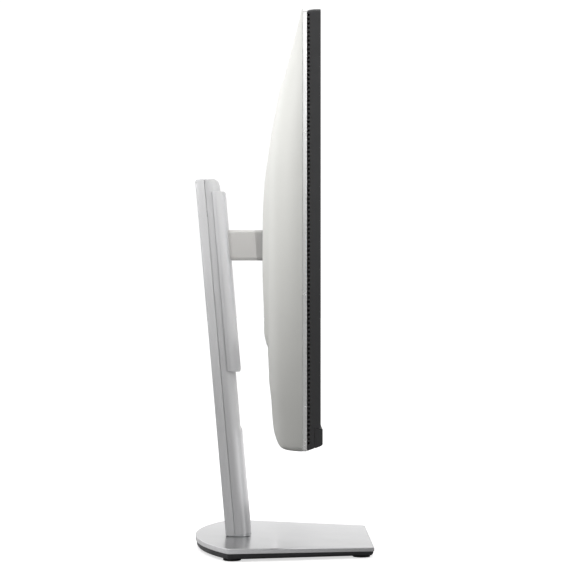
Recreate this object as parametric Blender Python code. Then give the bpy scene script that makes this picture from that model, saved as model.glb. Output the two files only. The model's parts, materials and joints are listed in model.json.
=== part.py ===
"""Height-adjustable desktop computer monitor, 27 inch class, on a leaning column with a flat base.

Frame: origin on the desk under the middle of the whole object, +X to the right of
somebody who faces the screen, +Y away from them (the back of the monitor), +Z up.
All sizes are millimetres; UNIT turns them into metres when vertices are made.
A name ending in _X, _Y or _Z that holds a pair is a range along that axis.
Pieces named cut_ or add_ are hidden helpers of the boolean modifiers.
"""
import math

import bmesh
import bpy
from mathutils import Vector

for old_object in list(bpy.data.objects):
    bpy.data.objects.remove(old_object, do_unlink=True)

scene = bpy.context.scene
scene.unit_settings.system = "METRIC"

UNIT = 0.001
SHARP_ANGLE = math.radians(32)
AXIS_MARK_SIZE = 0.02          # metres, drawn size of the joint empties
SIDES = (("left", -1), ("right", 1))

# ---------------------------------------------------------------- shared dimensions
GAP = 0.3                      # play between neighbouring pieces

# display head
HEAD_HALF_W = 305.5
HEAD_BOTTOM = 115.0
HEAD_TOP = 476.4
RIM_FRONT_Y = -17.4            # joint between silver back and black frame
RIM_BACK_Y = -13.6             # where the rim wall turns into the domed back
CHIN_TOP_Z = 133.8
POCKET_HALF = 60.0             # square pocket round the stand's bracket
POCKET_FLOOR_Y = 8.5
BAY_HALF_W = 118.0             # connector bay under the hump
BAY_LOW_Z, BAY_TOP_Z = 163.0, 197.0

# tilt hinge
TILT_Y, TILT_Z = 24.0, 289.0
TILT_CENTRE = (TILT_Y, TILT_Z)
PIN_R = 4.0
HINGE_R = 8.0                  # round end of the lugs, and the friction washers

# column: horizontal section given about a centre line that leans back
LEAN = 0.0863                  # millimetres back per millimetre up
COLUMN_Y, COLUMN_Z0 = 41.5, 12.0   # where the centre line meets the swivel
SWIVEL_CENTRE = (0, COLUMN_Y)
SPINDLE_R = 4.5

# screws
SCREW_R = 1.8
SCREW_HEAD_R = 3.4
SCREW_HEAD_HEIGHT = 1.8
SCREW_RIM_HEIGHT = 1.2         # straight part of the head, below its chamfer
SCREW_CHAMFER = 0.5
SCREW_HOLE_R = 2.2


def column_line(z):
    """Y of the column's centre line at a height."""
    return COLUMN_Y + LEAN * (z - COLUMN_Z0)


# ---------------------------------------------------------------- materials
LOOKS = {   # base colour, roughness, metallic
    "silver_cover": ((0.66, 0.66, 0.63), 0.42, 0.15),
    "silver_stand": ((0.60, 0.60, 0.61), 0.36, 0.35),
    "silver_base": ((0.60, 0.60, 0.61), 0.33, 0.6),
    "arm_metal": ((0.52, 0.51, 0.50), 0.36, 0.5),
    "black_plastic": ((0.035, 0.035, 0.037), 0.45, 0.0),
    "key_plastic": ((0.10, 0.10, 0.105), 0.40, 0.0),
    "steel": ((0.50, 0.51, 0.52), 0.30, 1.0),
    "galvanised": ((0.55, 0.56, 0.57), 0.45, 0.9),
    "spring_steel": ((0.42, 0.43, 0.45), 0.25, 1.0),
    "nylon": ((0.05, 0.05, 0.05), 0.55, 0.0),
    "acetal": ((0.75, 0.74, 0.70), 0.50, 0.0),
    "rubber": ((0.02, 0.02, 0.02), 0.85, 0.0),
    "lcd_glass": ((0.012, 0.013, 0.015), 0.18, 0.0),
    "film": ((0.85, 0.86, 0.88), 0.55, 0.0),
    "light_guide": ((0.80, 0.86, 0.90), 0.10, 0.0),
    "led": ((0.90, 0.86, 0.60), 0.40, 0.0),
    "board": ((0.03, 0.18, 0.08), 0.50, 0.0),
    "connector": ((0.60, 0.60, 0.62), 0.30, 0.9),
}


def material(name, look):
    """A piece's own material, named after the piece."""
    colour, roughness, metallic = LOOKS[look]
    mat = bpy.data.materials.new(name)
    mat.use_nodes = True
    shader = mat.node_tree.nodes["Principled BSDF"]
    shader.inputs["Base Color"].default_value = (*colour, 1.0)
    shader.inputs["Roughness"].default_value = roughness
    shader.inputs["Metallic"].default_value = metallic
    mat.diffuse_color = (*colour, 1.0)
    return mat


# ---------------------------------------------------------------- joint axes
def axis_empty(name, at, parent=None):
    empty = bpy.data.objects.new(name, None)
    scene.collection.objects.link(empty)
    empty.empty_display_size = AXIS_MARK_SIZE
    world = Vector(at) * UNIT
    empty["world"] = tuple(world)
    if parent is None:
        empty.location = world
    else:
        empty.parent = parent
        empty.location = world - Vector(parent["world"])
    return empty


SWIVEL = axis_empty("axis_swivel", (0, COLUMN_Y, COLUMN_Z0))
HEIGHT = axis_empty("axis_height", (0, column_line(TILT_Z), TILT_Z), SWIVEL)
TILT = axis_empty("axis_tilt", (0, TILT_Y, TILT_Z), HEIGHT)


# ---------------------------------------------------------------- builders
def build(name, verts, faces, look=None, rides=None, origin=None, lean=False):
    """Object from millimetre vertices; without a look it is a hidden helper.

    rides is the joint that carries the piece, and its origin unless one is given;
    lean shears a piece along the column.
    """
    if lean:
        verts = [(x, y + column_line(z), z) for x, y, z in verts]
    carrier = Vector(rides["world"]) if rides is not None else Vector((0, 0, 0))
    anchor = Vector(origin) * UNIT if origin else carrier
    mesh = bpy.data.meshes.new(name)
    mesh.from_pydata([Vector(v) * UNIT - anchor for v in verts], [], faces)
    bm = bmesh.new()
    bm.from_mesh(mesh)
    bmesh.ops.recalc_face_normals(bm, faces=bm.faces)
    bm.to_mesh(mesh)
    bm.free()
    mesh.update()
    piece = bpy.data.objects.new(name, mesh)
    scene.collection.objects.link(piece)
    piece.parent = rides
    piece.location = anchor - carrier
    if look:
        mesh.materials.append(material(name, look))
        mesh.shade_smooth()
        mesh.set_sharp_from_angle(angle=SHARP_ANGLE)
    else:
        piece.hide_render = True
        piece.display_type = "WIRE"
    return piece


def band(first, second, n):
    """Quads between two closed loops of n vertices that start at these indices."""
    return [(first + i, first + (i + 1) % n, second + (i + 1) % n, second + i)
            for i in range(n)]


def loft(name, loops, look=None, **placing):
    """Closed solid through loops of equal count, with flat end caps."""
    n = len(loops[0])
    last = (len(loops) - 1) * n
    verts = [point for loop in loops for point in loop]
    faces = []
    for start in range(0, last, n):
        faces += band(start, start + n, n)
    faces.append(tuple(range(n)))
    faces.append(tuple(range(last, last + n)))
    return build(name, verts, faces, look, **placing)


def along(axis, a, b, c):
    """Point from two section coordinates and one length coordinate."""
    return {"x": (c, a, b), "y": (a, c, b), "z": (a, b, c)}[axis]


def span(half, centre=0.0):
    """Range that reaches half to each side of a centre."""
    return centre - half, centre + half


def prism(name, outline, axis, ends, look=None, **placing):
    """Outline extruded along an axis: (y, z) for x, (x, z) for y, (x, y) for z."""
    return loft(name, [[along(axis, a, b, end) for a, b in outline] for end in ends],
                look, **placing)


def box(name, x_range, y_range, z_range, look=None, **placing):
    (x0, x1), (y0, y1) = x_range, y_range
    return prism(name, [(x0, y0), (x1, y0), (x1, y1), (x0, y1)], "z", z_range, look, **placing)


def circle(centre, radius, n):
    return [(centre[0] + radius * math.cos(2 * math.pi * i / n),
             centre[1] + radius * math.sin(2 * math.pi * i / n)) for i in range(n)]


def cylinder(name, centre, radius, axis, ends, look=None, n=20, **placing):
    return prism(name, circle(centre, radius, n), axis, ends, look, **placing)


def ring(name, centre, inner_r, outer_r, axis, ends, look, n=20, **placing):
    """Washer or tube: four loops joined round a hole."""
    low, high = ends
    corners = ((inner_r, low), (outer_r, low), (outer_r, high), (inner_r, high))
    verts = [along(axis, a, b, end) for radius, end in corners
             for a, b in circle(centre, radius, n)]
    faces = []
    for k in range(4):
        faces += band(k * n, (k + 1) % 4 * n, n)
    return build(name, verts, faces, look, **placing)


def combine(piece, helper, operation):
    mod = piece.modifiers.new(operation.lower() + "_" + helper.name, "BOOLEAN")
    mod.operation = operation
    mod.solver = "EXACT"
    mod.object = helper


def cut(piece, helper):
    combine(piece, helper, "DIFFERENCE")


def join(piece, helper):
    combine(piece, helper, "UNION")


def rounded(points, radii, steps):
    """Convex outline with each corner replaced by an arc of its radius."""
    out = []
    n = len(points)
    for i, radius in enumerate(radii):
        corner = Vector(points[i])
        if radius <= 0:
            out.append(tuple(corner))
            continue
        to_last = (Vector(points[i - 1]) - corner).normalized()
        to_next = (Vector(points[(i + 1) % n]) - corner).normalized()
        half = math.acos(max(-1, min(1, to_last.dot(to_next)))) / 2
        centre = corner + (to_last + to_next).normalized() * (radius / math.sin(half))
        start = corner + to_last * (radius / math.tan(half)) - centre
        end = corner + to_next * (radius / math.tan(half)) - centre
        sweep = start.angle_signed(end)
        for k in range(steps + 1):
            t = -sweep * k / steps
            out.append((centre.x + start.x * math.cos(t) - start.y * math.sin(t),
                        centre.y + start.x * math.sin(t) + start.y * math.cos(t)))
    return out


def shrunk(points, inset):
    """Counter-clockwise convex outline moved inwards at every edge."""
    out = []
    n = len(points)
    for i in range(n):
        corner = Vector(points[i])
        edge_in = (corner - Vector(points[i - 1])).normalized()
        edge_out = (Vector(points[(i + 1) % n]) - corner).normalized()
        normal_in = Vector((-edge_in.y, edge_in.x))
        normal_out = Vector((-edge_out.y, edge_out.x))
        move = (normal_in + normal_out) * (inset / (1 + normal_in.dot(normal_out)))
        out.append((corner.x + move.x, corner.y + move.y))
    return out


def column_section(half_w, y_range, steps, front_r=0, back_r=0):
    """Horizontal section across the column, with its own front and back corner radii."""
    front, back = y_range
    return rounded([(half_w, back), (-half_w, back), (-half_w, front), (half_w, front)],
                   [back_r, back_r, front_r, front_r], steps)


def upright_section(half_w, z_range, radius, steps, centre_x=0.0):
    """Rounded rectangle in X and Z."""
    low, top = z_range
    left, right = span(half_w, centre_x)
    return rounded([(right, low), (right, top), (left, top), (left, low)], [radius] * 4, steps)


def screw(name, x, z, head_y, length, rides):
    """Pan-head screw along Y: the head faces back, the shank runs forward."""
    stations = ((SCREW_HEAD_R - SCREW_CHAMFER, head_y + SCREW_HEAD_HEIGHT),
                (SCREW_HEAD_R, head_y + SCREW_RIM_HEIGHT),
                (SCREW_HEAD_R, head_y),
                (SCREW_R, head_y),
                (SCREW_R, head_y - length))
    loft(name, [[(a, y, b) for a, b in circle((x, z), radius, 12)] for radius, y in stations],
         "steel", rides=rides)


def screw_hole(piece, name, x, z, start, end, radius=SCREW_HOLE_R):
    """Hole along Y; start and end are measured from the column's centre line."""
    y = column_line(z)
    cut(piece, cylinder(name, (x, z), radius, "y", (y + start, y + end), n=12))


# ---------------------------------------------------------------- base
BASE_FRONT_Y, BASE_BACK_Y = -84.2, 83.0
BASE_FRONT_HALF_W, BASE_HALF_W = 88.2, 119.5
BASE_CORNER_Y = 50.4
BASE_CORNER_R = 3
BASE_ARC_STEPS = 12
BASE_TOP_Z, BASE_TOP_SLOPE = 12.2, 0.0186      # height at the rear corners, rise per mm
BASE_UNDER_Z, BASE_UNDER_SLOPE = 7.35, 0.0104
BASE_BORE_R = 5.2
SEAT_R, SEAT_FLOOR_Z = 12.0, 11.2              # sunk seat of the swivel washer
BASE_CUT_TOP_Z = 20
PAN_LOW_Z = 2.2
PAN_WELL_R = 17.0
FOOT_R = 8.2
FOOT_CHAMFER = 0.5
FOOT_PLACES = (("rear", 104.0, 46.5), ("front", 78.0, -72.6))   # distance from middle, y
NUT_Z = (2.7, 5.3)
THRUST_LOW_Z = NUT_Z[1] + GAP


def base_top(y):
    """Height of the base's sloping top face."""
    return BASE_TOP_Z + BASE_TOP_SLOPE * (y - BASE_CORNER_Y)


def base_under(y):
    """Height of the silver plate's underside."""
    return BASE_UNDER_Z + BASE_UNDER_SLOPE * (y - BASE_CORNER_Y)


def base_outline():
    """Front edge straight, sides widening backwards, rear edge one wide arc."""
    sag = BASE_BACK_Y - BASE_CORNER_Y
    radius = (BASE_HALF_W ** 2 + sag ** 2) / (2 * sag)
    centre_y = BASE_BACK_Y - radius
    reach = math.asin(BASE_HALF_W / radius)
    points = [(-BASE_FRONT_HALF_W, BASE_FRONT_Y), (BASE_FRONT_HALF_W, BASE_FRONT_Y)]
    for k in range(BASE_ARC_STEPS + 1):
        t = reach - 2 * reach * k / BASE_ARC_STEPS
        points.append((radius * math.sin(t), centre_y + radius * math.cos(t)))
    radii = [BASE_CORNER_R] * 3 + [0] * (BASE_ARC_STEPS - 1) + [BASE_CORNER_R]
    return rounded(points, radii, 3)


def base_loop(inset, height):
    return [(x, y, height(y)) for x, y in shrunk(base_outline(), inset)]


plate = loft("base_plate", [base_loop(0.5, base_under),
                            base_loop(0.0, lambda y: base_under(y) + 0.5),
                            base_loop(0.0, lambda y: base_top(y) - 0.8),
                            base_loop(0.8, base_top)], "silver_base")
cut(plate, cylinder("cut_plate_bore", SWIVEL_CENTRE, BASE_BORE_R, "z", (0, BASE_CUT_TOP_Z), n=24))
cut(plate, cylinder("cut_plate_seat", SWIVEL_CENTRE, SEAT_R, "z",
                    (SEAT_FLOOR_Z, BASE_CUT_TOP_Z), n=24))

pan = loft("base_pan", [base_loop(2.2, lambda y: PAN_LOW_Z),
                        base_loop(1.4, lambda y: PAN_LOW_Z + 0.9),
                        base_loop(0.8, lambda y: base_under(y) - GAP)], "black_plastic")
cut(pan, cylinder("cut_pan_well", SWIVEL_CENTRE, PAN_WELL_R, "z", (0, BASE_CUT_TOP_Z), n=24))

for side, sign in SIDES:
    for place, foot_x, foot_y in FOOT_PLACES:
        stations = ((FOOT_R - FOOT_CHAMFER, 0.0), (FOOT_R, FOOT_CHAMFER),
                    (FOOT_R, PAN_LOW_Z - GAP))
        loft(f"foot_{place}_{side}",
             [[(x, y, z) for x, y in circle((sign * foot_x, foot_y), radius, 20)]
              for radius, z in stations], "rubber")

ring("swivel_washer", SWIVEL_CENTRE, BASE_BORE_R, 11.5, "z", (SEAT_FLOOR_Z + GAP, 12.6),
     "nylon", n=24)
ring("thrust_washer", SWIVEL_CENTRE, BASE_BORE_R, 13.0, "z", (THRUST_LOW_Z, THRUST_LOW_Z + 1.0),
     "nylon", n=24)

# ---------------------------------------------------------------- column (turns on the swivel)
# The y values of this section are measured from the column's centre line.
COLUMN_Z = (12.95, 351.4)
COLUMN_TOP_Z = COLUMN_Z[1]
COLUMN_HALF_W = 28.0
COLUMN_FRONT, COLUMN_BACK = -12.0, 12.0
COLUMN_FRONT_R, COLUMN_BACK_R = 11, 3
COLUMN_WALL = 2.4
COLUMN_SEAM = 3.3              # middle of the seam between shell and rear cover
SHELL_TOP_R, REAR_TOP_R = 5.0, 3.0
TRACK_FRONT = -10.4            # recessed front face that the carriage runs on
TRACK_END_Z = 110.0
TRACK_RAMP_H = 4.5
TRACK_CUT_FRONT, TRACK_CUT_TOP_Z = -20, 370
SLOT_HALF_W = 14.3
SLOT_Z = (221, 317)
HOLLOW_HALF_W = COLUMN_HALF_W - COLUMN_WALL
HOLLOW_FRONT = TRACK_FRONT + COLUMN_WALL
HOLLOW_Z = (0, COLUMN_TOP_Z - COLUMN_WALL)
ACROSS_X = span(40)            # cutters that pass right through the column sideways
TOP_CUT_MARGIN = 6
FILL_HALF_W = 24.8             # blocks inside the hollow
FILL_FRONT = -7.4
FILL_FRONT_R = 6.2
SPINDLE_Z = (2.5, 30.2)
SPINDLE_BORE_R = SPINDLE_R + GAP
RAIL_X, RAIL_Y, RAIL_R = 17.6, -3.2, 2.6
COVER_SCREW_X, COVER_SCREW_Z = 18.0, 30.0
COVER_SCREW_HEAD = 10.2
COUNTERBORE_R, COUNTERBORE_FLOOR = 3.9, 9.85


def top_edge_cutter(name, edge, inward, radius):
    """Removes a square top edge and leaves an arc that runs across the column."""
    centre_y, centre_z = edge + inward * radius, COLUMN_TOP_Z - radius
    outside = edge - inward * TOP_CUT_MARGIN
    points = [(outside, centre_z), (edge, centre_z)]
    for k in range(1, 6):
        t = math.pi / 2 * k / 5
        points.append((centre_y - inward * radius * math.cos(t),
                       centre_z + radius * math.sin(t)))
    points += [(centre_y, COLUMN_TOP_Z + TOP_CUT_MARGIN), (outside, COLUMN_TOP_Z + TOP_CUT_MARGIN)]
    return prism(name, points, "x", ACROSS_X, lean=True)


def filler(name, back, z_range, look, rides):
    """Block that fills the column's hollow, with the hollow's rounded front corners."""
    outline = column_section(FILL_HALF_W, (FILL_FRONT, back), 4, front_r=FILL_FRONT_R)
    return prism(name, outline, "z", z_range, look, lean=True, rides=rides)


shell = prism("column_shell",
              column_section(COLUMN_HALF_W, (COLUMN_FRONT, COLUMN_SEAM - GAP / 2), 6,
                             front_r=COLUMN_FRONT_R),
              "z", COLUMN_Z, "silver_stand", lean=True, rides=SWIVEL)
cut(shell, prism("cut_shell_hollow",
                 column_section(HOLLOW_HALF_W, (HOLLOW_FRONT, 4.0), 4, front_r=6.5),
                 "z", HOLLOW_Z, lean=True))
cut(shell, prism("cut_shell_track",
                 [(TRACK_CUT_FRONT, TRACK_END_Z), (COLUMN_FRONT, TRACK_END_Z),
                  (TRACK_FRONT, TRACK_END_Z + TRACK_RAMP_H), (TRACK_FRONT, TRACK_CUT_TOP_Z),
                  (TRACK_CUT_FRONT, TRACK_CUT_TOP_Z)], "x", ACROSS_X, lean=True))
cut(shell, box("cut_shell_slot", span(SLOT_HALF_W), (-16, -6), SLOT_Z, lean=True))
cut(shell, top_edge_cutter("cut_shell_top", TRACK_FRONT, 1, SHELL_TOP_R))

rear = prism("column_rear_cover",
             column_section(COLUMN_HALF_W, (COLUMN_SEAM + GAP / 2, COLUMN_BACK), 3,
                            back_r=COLUMN_BACK_R),
             "z", COLUMN_Z, "silver_stand", lean=True, rides=SWIVEL)
cut(rear, box("cut_rear_hollow", span(HOLLOW_HALF_W), (-4, COLUMN_BACK - COLUMN_WALL), HOLLOW_Z,
              lean=True))
cut(rear, top_edge_cutter("cut_rear_top", COLUMN_BACK, -1, REAR_TOP_R))

block = filler("foot_block", 8.8, (13.3, 45), "galvanised", SWIVEL)
cut(block, cylinder("cut_block_bore", SWIVEL_CENTRE, SPINDLE_BORE_R, "z",
                    (0, SPINDLE_Z[1] + GAP)))

cylinder("swivel_spindle", SWIVEL_CENTRE, SPINDLE_R, "z", SPINDLE_Z, "steel", rides=SWIVEL)
ring("swivel_nut", SWIVEL_CENTRE, SPINDLE_BORE_R, 8.5, "z", NUT_Z, "steel", n=18, rides=SWIVEL)

for side, sign in SIDES:
    cylinder(f"guide_rail_{side}", (sign * RAIL_X, RAIL_Y), RAIL_R, "z", (45.4, 345), "steel",
             n=14, lean=True, rides=SWIVEL)
box("spring_anchor", span(10), (FILL_FRONT, 3.0), (340.5, 348.6), "galvanised",
    lean=True, rides=SWIVEL)

# two screws hold the rear cover to the foot block; their heads sit in counterbores
for side, sign in SIDES:
    name = f"column_screw_{side}"
    x, z = sign * COVER_SCREW_X, COVER_SCREW_Z
    screw(name, x, z, column_line(z) + COVER_SCREW_HEAD, 9.0, SWIVEL)
    screw_hole(rear, f"cut_{name}", x, z, 5, 20)
    screw_hole(rear, f"cut_{name}_head", x, z, COUNTERBORE_FLOOR, 20, COUNTERBORE_R)
    screw_hole(block, f"cut_{name}_block", x, z, 0.5, 20)

# ---------------------------------------------------------------- carriage (slides on the column)
CARRIAGE_LOW_Z, CARRIAGE_TOP_Z = 168.5, 339.6
CARRIAGE_HALF_W = 30.6
CARRIAGE_FRONT, CARRIAGE_BACK = -15.5, -3.2    # from the column's centre line
CARRIAGE_FRONT_R = 11.5
CARRIAGE_WALL = 2.0
PASSAGE_HALF_W = 28.55         # opening in the end walls that the column runs through
PASSAGE_PLAY = 0.5
PASSAGE_MARGIN = 5
TENON_SLOT_HALF_W = 12.5
TENON_SLOT_Z = (276.4, 301.6)
EAR_X, EAR_HALF_W = 11.4, 1.6
COIL_Z = 319.5
COIL_CENTRE = (column_line(COIL_Z) - 0.8, COIL_Z)
RAIL_PLAY = 0.35

cover = prism("carriage_cover",
              column_section(CARRIAGE_HALF_W, (CARRIAGE_FRONT, CARRIAGE_BACK), 6,
                             front_r=CARRIAGE_FRONT_R),
              "z", (CARRIAGE_LOW_Z, CARRIAGE_TOP_Z), "silver_stand", lean=True, rides=HEIGHT)
cut(cover, prism("cut_carriage_inner",
                 column_section(CARRIAGE_HALF_W - CARRIAGE_WALL,
                                (CARRIAGE_FRONT + CARRIAGE_WALL, 2), 4,
                                front_r=CARRIAGE_FRONT_R - CARRIAGE_WALL),
                 "z", (CARRIAGE_LOW_Z + CARRIAGE_WALL, CARRIAGE_TOP_Z - CARRIAGE_WALL),
                 lean=True))
cut(cover, prism("cut_carriage_passage",
                 column_section(PASSAGE_HALF_W, (TRACK_FRONT - PASSAGE_PLAY, 3), 4, front_r=7.0),
                 "z", (CARRIAGE_LOW_Z - PASSAGE_MARGIN, CARRIAGE_TOP_Z + PASSAGE_MARGIN),
                 lean=True))
cut(cover, box("cut_carriage_tenon", span(TENON_SLOT_HALF_W), (-30, 2), TENON_SLOT_Z, lean=True))

# slider block with two ears that carry the lift spring's axle
slider = filler("slider_block", 1.4, (250, 310), "acetal", HEIGHT)
for side, sign in SIDES:
    join(slider, box(f"add_ear_{side}", span(EAR_HALF_W, sign * EAR_X), (-6.0, 3.4), (305, 325),
                     lean=True))
cut(slider, cylinder("cut_ear_bore", COIL_CENTRE, 2.7, "x", span(20), n=14))
for side, sign in SIDES:
    cut(slider, cylinder(f"cut_slider_rail_{side}", (sign * RAIL_X, RAIL_Y), RAIL_R + RAIL_PLAY,
                         "z", (200, 360), n=14, lean=True))
ring("lift_spring", COIL_CENTRE, 2.9, 5.6, "x", span(8.5), "spring_steel", rides=HEIGHT)
cylinder("spring_axle", COIL_CENTRE, 2.3, "x", span(13.4), "steel", n=14, rides=HEIGHT)

# ---------------------------------------------------------------- arm (moves with the carriage)
ARM_HALF_W = 25.0
ARM_Z = (274.6, 303.1)
ARM_EDGE_R = 3.5
ARM_Y = (18.2, 60)             # the rear end is then cut to the carriage's shape
ARM_CAVITY_HALF_W = 19.5
CARRIAGE_PLAY = 0.4
TENON_HALF_W = 12
TENON_LOW_Z, TENON_TOP_Z = 277.0, 301.0
TENON_FRONT_Y = 46
TENON_END = -7.8               # rear end of the tenon, from the column's centre line
PIN_HOLE_R = PIN_R + GAP
PIN_HALF_L = 22.2
FRICTION_X, FRICTION_HALF_W = 13.6, 1.2
ARM_SCREWS = (("arm_screw_upper", 296.0), ("arm_screw_lower", 282.0))

arm = prism("arm_shell", upright_section(ARM_HALF_W, ARM_Z, ARM_EDGE_R, 4), "y", ARM_Y,
            "arm_metal", rides=HEIGHT)
cut(arm, prism("cut_arm_end",
               column_section(CARRIAGE_HALF_W + CARRIAGE_PLAY,
                              (CARRIAGE_FRONT - CARRIAGE_PLAY, 40), 6,
                              front_r=CARRIAGE_FRONT_R + CARRIAGE_PLAY),
               "z", (240, 340), lean=True))
join(arm, prism("add_arm_tenon",
                [(TENON_FRONT_Y, TENON_LOW_Z),
                 (column_line(TENON_LOW_Z) + TENON_END, TENON_LOW_Z),
                 (column_line(TENON_TOP_Z) + TENON_END, TENON_TOP_Z),
                 (TENON_FRONT_Y, TENON_TOP_Z)], "x", span(TENON_HALF_W)))
cut(arm, box("cut_arm_cavity", span(ARM_CAVITY_HALF_W), (10, 40), (278.0, 299.7)))
cut(arm, cylinder("cut_arm_pin", TILT_CENTRE, PIN_HOLE_R, "x", span(PIN_HALF_L + 0.4)))

for name, z in ARM_SCREWS:
    screw(name, 0.0, z, column_line(z) + 1.75, 19.0, HEIGHT)
    screw_hole(slider, f"cut_{name}", 0.0, z, -20, 5)
    screw_hole(arm, f"cut_{name}_arm", 0.0, z, -18.5, 5)

cylinder("tilt_pin", TILT_CENTRE, PIN_R, "x", span(PIN_HALF_L), "steel", rides=HEIGHT)
for side, sign in SIDES:
    ring(f"friction_washer_{side}", TILT_CENTRE, PIN_HOLE_R, HINGE_R, "x",
         span(FRICTION_HALF_W, sign * FRICTION_X), "spring_steel", rides=HEIGHT)
ring("tilt_nut", TILT_CENTRE, PIN_HOLE_R, 7.6, "x", (15.2, 19.1), "steel", n=18, rides=HEIGHT)

# ---------------------------------------------------------------- head: hinge bracket
BRACKET_HALF_W = 56
BRACKET_Y = (8.9, 11.4)
BRACKET_Z = (239, 345)
LUG_X, LUG_HALF_W = 10, 2
LUG_ROOT_Y, LUG_ROOT_HALF_H = 10.9, 7.8
HOOK_X, HOOK_HALF_W = 26, 6

lug_outline = [(LUG_ROOT_Y, TILT_Z - LUG_ROOT_HALF_H)]
for degrees in range(-90, 91, 18):
    t = math.radians(degrees)
    lug_outline.append((TILT_Y + HINGE_R * math.cos(t), TILT_Z + HINGE_R * math.sin(t)))
lug_outline.append((LUG_ROOT_Y, TILT_Z + LUG_ROOT_HALF_H))

bracket = box("tilt_bracket", span(BRACKET_HALF_W), BRACKET_Y, BRACKET_Z, "galvanised", rides=TILT)
for side, sign in SIDES:
    join(bracket, prism(f"add_lug_{side}", lug_outline, "x", span(LUG_HALF_W, sign * LUG_X)))
    join(bracket, box(f"add_hook_{side}", span(HOOK_HALF_W, sign * HOOK_X), (9.1, 11.1),
                      (340, 350.8)))
cut(bracket, cylinder("cut_lug_bore", TILT_CENTRE, PIN_HOLE_R, "x", span(15)))

# ---------------------------------------------------------------- head: domed back
COVER_WALL = 2.4
CORNER_INSET = 1.3             # the cover's corner vertices are pulled in by this
LOW_ROW_Z = 119.0
LOW_ROW_STEP = 4.0             # the second row stands this far forward of LOW_ROW_Z's surface

# height z, depth of the back behind the rim on the middle line, without the hump
MIDDLE = [(115.0, 21.6), (121.0, 22.6), (140.0, 23.9), (163.0, 26.3), (190.0, 27.4),
          (240.0, 27.7), (290.0, 27.6), (340.0, 27.1), (375.0, 24.4), (400.0, 20.6),
          (429.0, 14.9), (442.0, 11.2), (456.0, 7.0), (465.0, 4.2), (471.0, 2.2), (476.4, 0.0)]

# how the depth grows inwards from the side edges
EDGE_SHARE = 0.80              # part of the depth gained steeply near the edge
EDGE_REACH = 10.0
DOME_POWER = 2.4               # curve of the rest, over the half width

# hump: heights, then the ranges over which each effect grows from none to full
HUMP_TOP, HUMP_RISE, HUMP_DROP = 1.8, 3.0, 1.5
HUMP_RISE_Z, HUMP_DROP_Z = (400, 305), (270, 215)
HUMP_START_Z, HUMP_END_Z, HUMP_SIDE_X = (190, 206), (445, 425), (152, 120)

# grid lines of the cover's outer surface; the first two rows share the bottom height
RIGHT_X = [60.0, BAY_HALF_W, 152.0, 205.0, 255.0, 284.0, 297.5, HEAD_HALF_W]
COVER_X = [-x for x in reversed(RIGHT_X)] + [0.0] + RIGHT_X
COVER_Z = [HEAD_BOTTOM, HEAD_BOTTOM, LOW_ROW_Z, 140.0, BAY_LOW_Z, BAY_TOP_Z, 206.0,
           TILT_Z - POCKET_HALF, 259.0, TILT_Z, 319.0, TILT_Z + POCKET_HALF, 375.0, 400.0,
           429.0, 447.0, 462.0, 471.0, HEAD_TOP]
# outer grid line: where it lies on the inner surface, if elsewhere
INNER_X = {60.0: 62.0, BAY_HALF_W: BAY_HALF_W + 1.5, 297.5: 296.0,
           HEAD_HALF_W: HEAD_HALF_W - COVER_WALL}
INNER_Z = {HEAD_BOTTOM: HEAD_BOTTOM + COVER_WALL, LOW_ROW_Z: 121.5,
           BAY_LOW_Z: BAY_LOW_Z - 1.5, BAY_TOP_Z: BAY_TOP_Z + 1.5,
           TILT_Z - POCKET_HALF: TILT_Z - POCKET_HALF - 2,
           TILT_Z + POCKET_HALF: TILT_Z + POCKET_HALF + 2,
           471.0: 469.5, HEAD_TOP: HEAD_TOP - COVER_WALL}


def ramp(limits, value):
    """Smooth step from 0 at the first limit to 1 at the second."""
    start, end = limits
    t = max(0.0, min(1.0, (value - start) / (end - start)))
    return t * t * (3 - 2 * t)


def middle_depth(z):
    """Depth on the middle line, straight between the stations of MIDDLE."""
    for (z0, depth0), (z1, depth1) in zip(MIDDLE, MIDDLE[1:]):
        if z <= z1:
            return depth0 + (depth1 - depth0) * (z - z0) / (z1 - z0)
    return 0.0


def hump(x, z):
    """Raised centre that holds the stand's pocket and the connectors."""
    height = HUMP_TOP + HUMP_RISE * ramp(HUMP_RISE_Z, z) - HUMP_DROP * ramp(HUMP_DROP_Z, z)
    return height * ramp(HUMP_START_Z, z) * ramp(HUMP_END_Z, z) * ramp(HUMP_SIDE_X, abs(x))


def back_y(x, z):
    """Y of the outer surface of the silver back."""
    edge = HEAD_HALF_W - abs(x)
    side = (EDGE_SHARE * (1 - math.exp(-edge / EDGE_REACH))
            + (1 - EDGE_SHARE) * (1 - (1 - edge / HEAD_HALF_W) ** DOME_POWER))
    return RIM_BACK_Y + middle_depth(z) * side + hump(x, z)


def cover_point(i, j, inside):
    last_i, last_j = len(COVER_X) - 1, len(COVER_Z) - 1
    x, z = COVER_X[i], COVER_Z[j]
    if inside:
        x = math.copysign(INNER_X.get(abs(x), abs(x)), x)
        z = INNER_Z.get(z, z)
    if i in (0, last_i) and j in (0, 1, last_j):
        x -= math.copysign(CORNER_INSET, x)
        z += -CORNER_INSET if j == last_j else CORNER_INSET
    wall = COVER_WALL if inside else 0
    if i in (0, last_i) or j in (0, last_j):
        y = RIM_FRONT_Y if inside else RIM_BACK_Y
    elif j == 1:
        y = back_y(x, LOW_ROW_Z) - LOW_ROW_STEP - wall
    else:
        y = back_y(x, z) - wall
    return x, y, z


def cell_hole(i, j):
    """Opening that a grid cell belongs to, if any."""
    x = abs((COVER_X[i] + COVER_X[i + 1]) / 2)
    z = (COVER_Z[j] + COVER_Z[j + 1]) / 2
    if x < POCKET_HALF and abs(z - TILT_Z) < POCKET_HALF:
        return "pocket"
    if x < BAY_HALF_W and BAY_LOW_Z < z < BAY_TOP_Z:
        return "bay"
    return None


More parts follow.
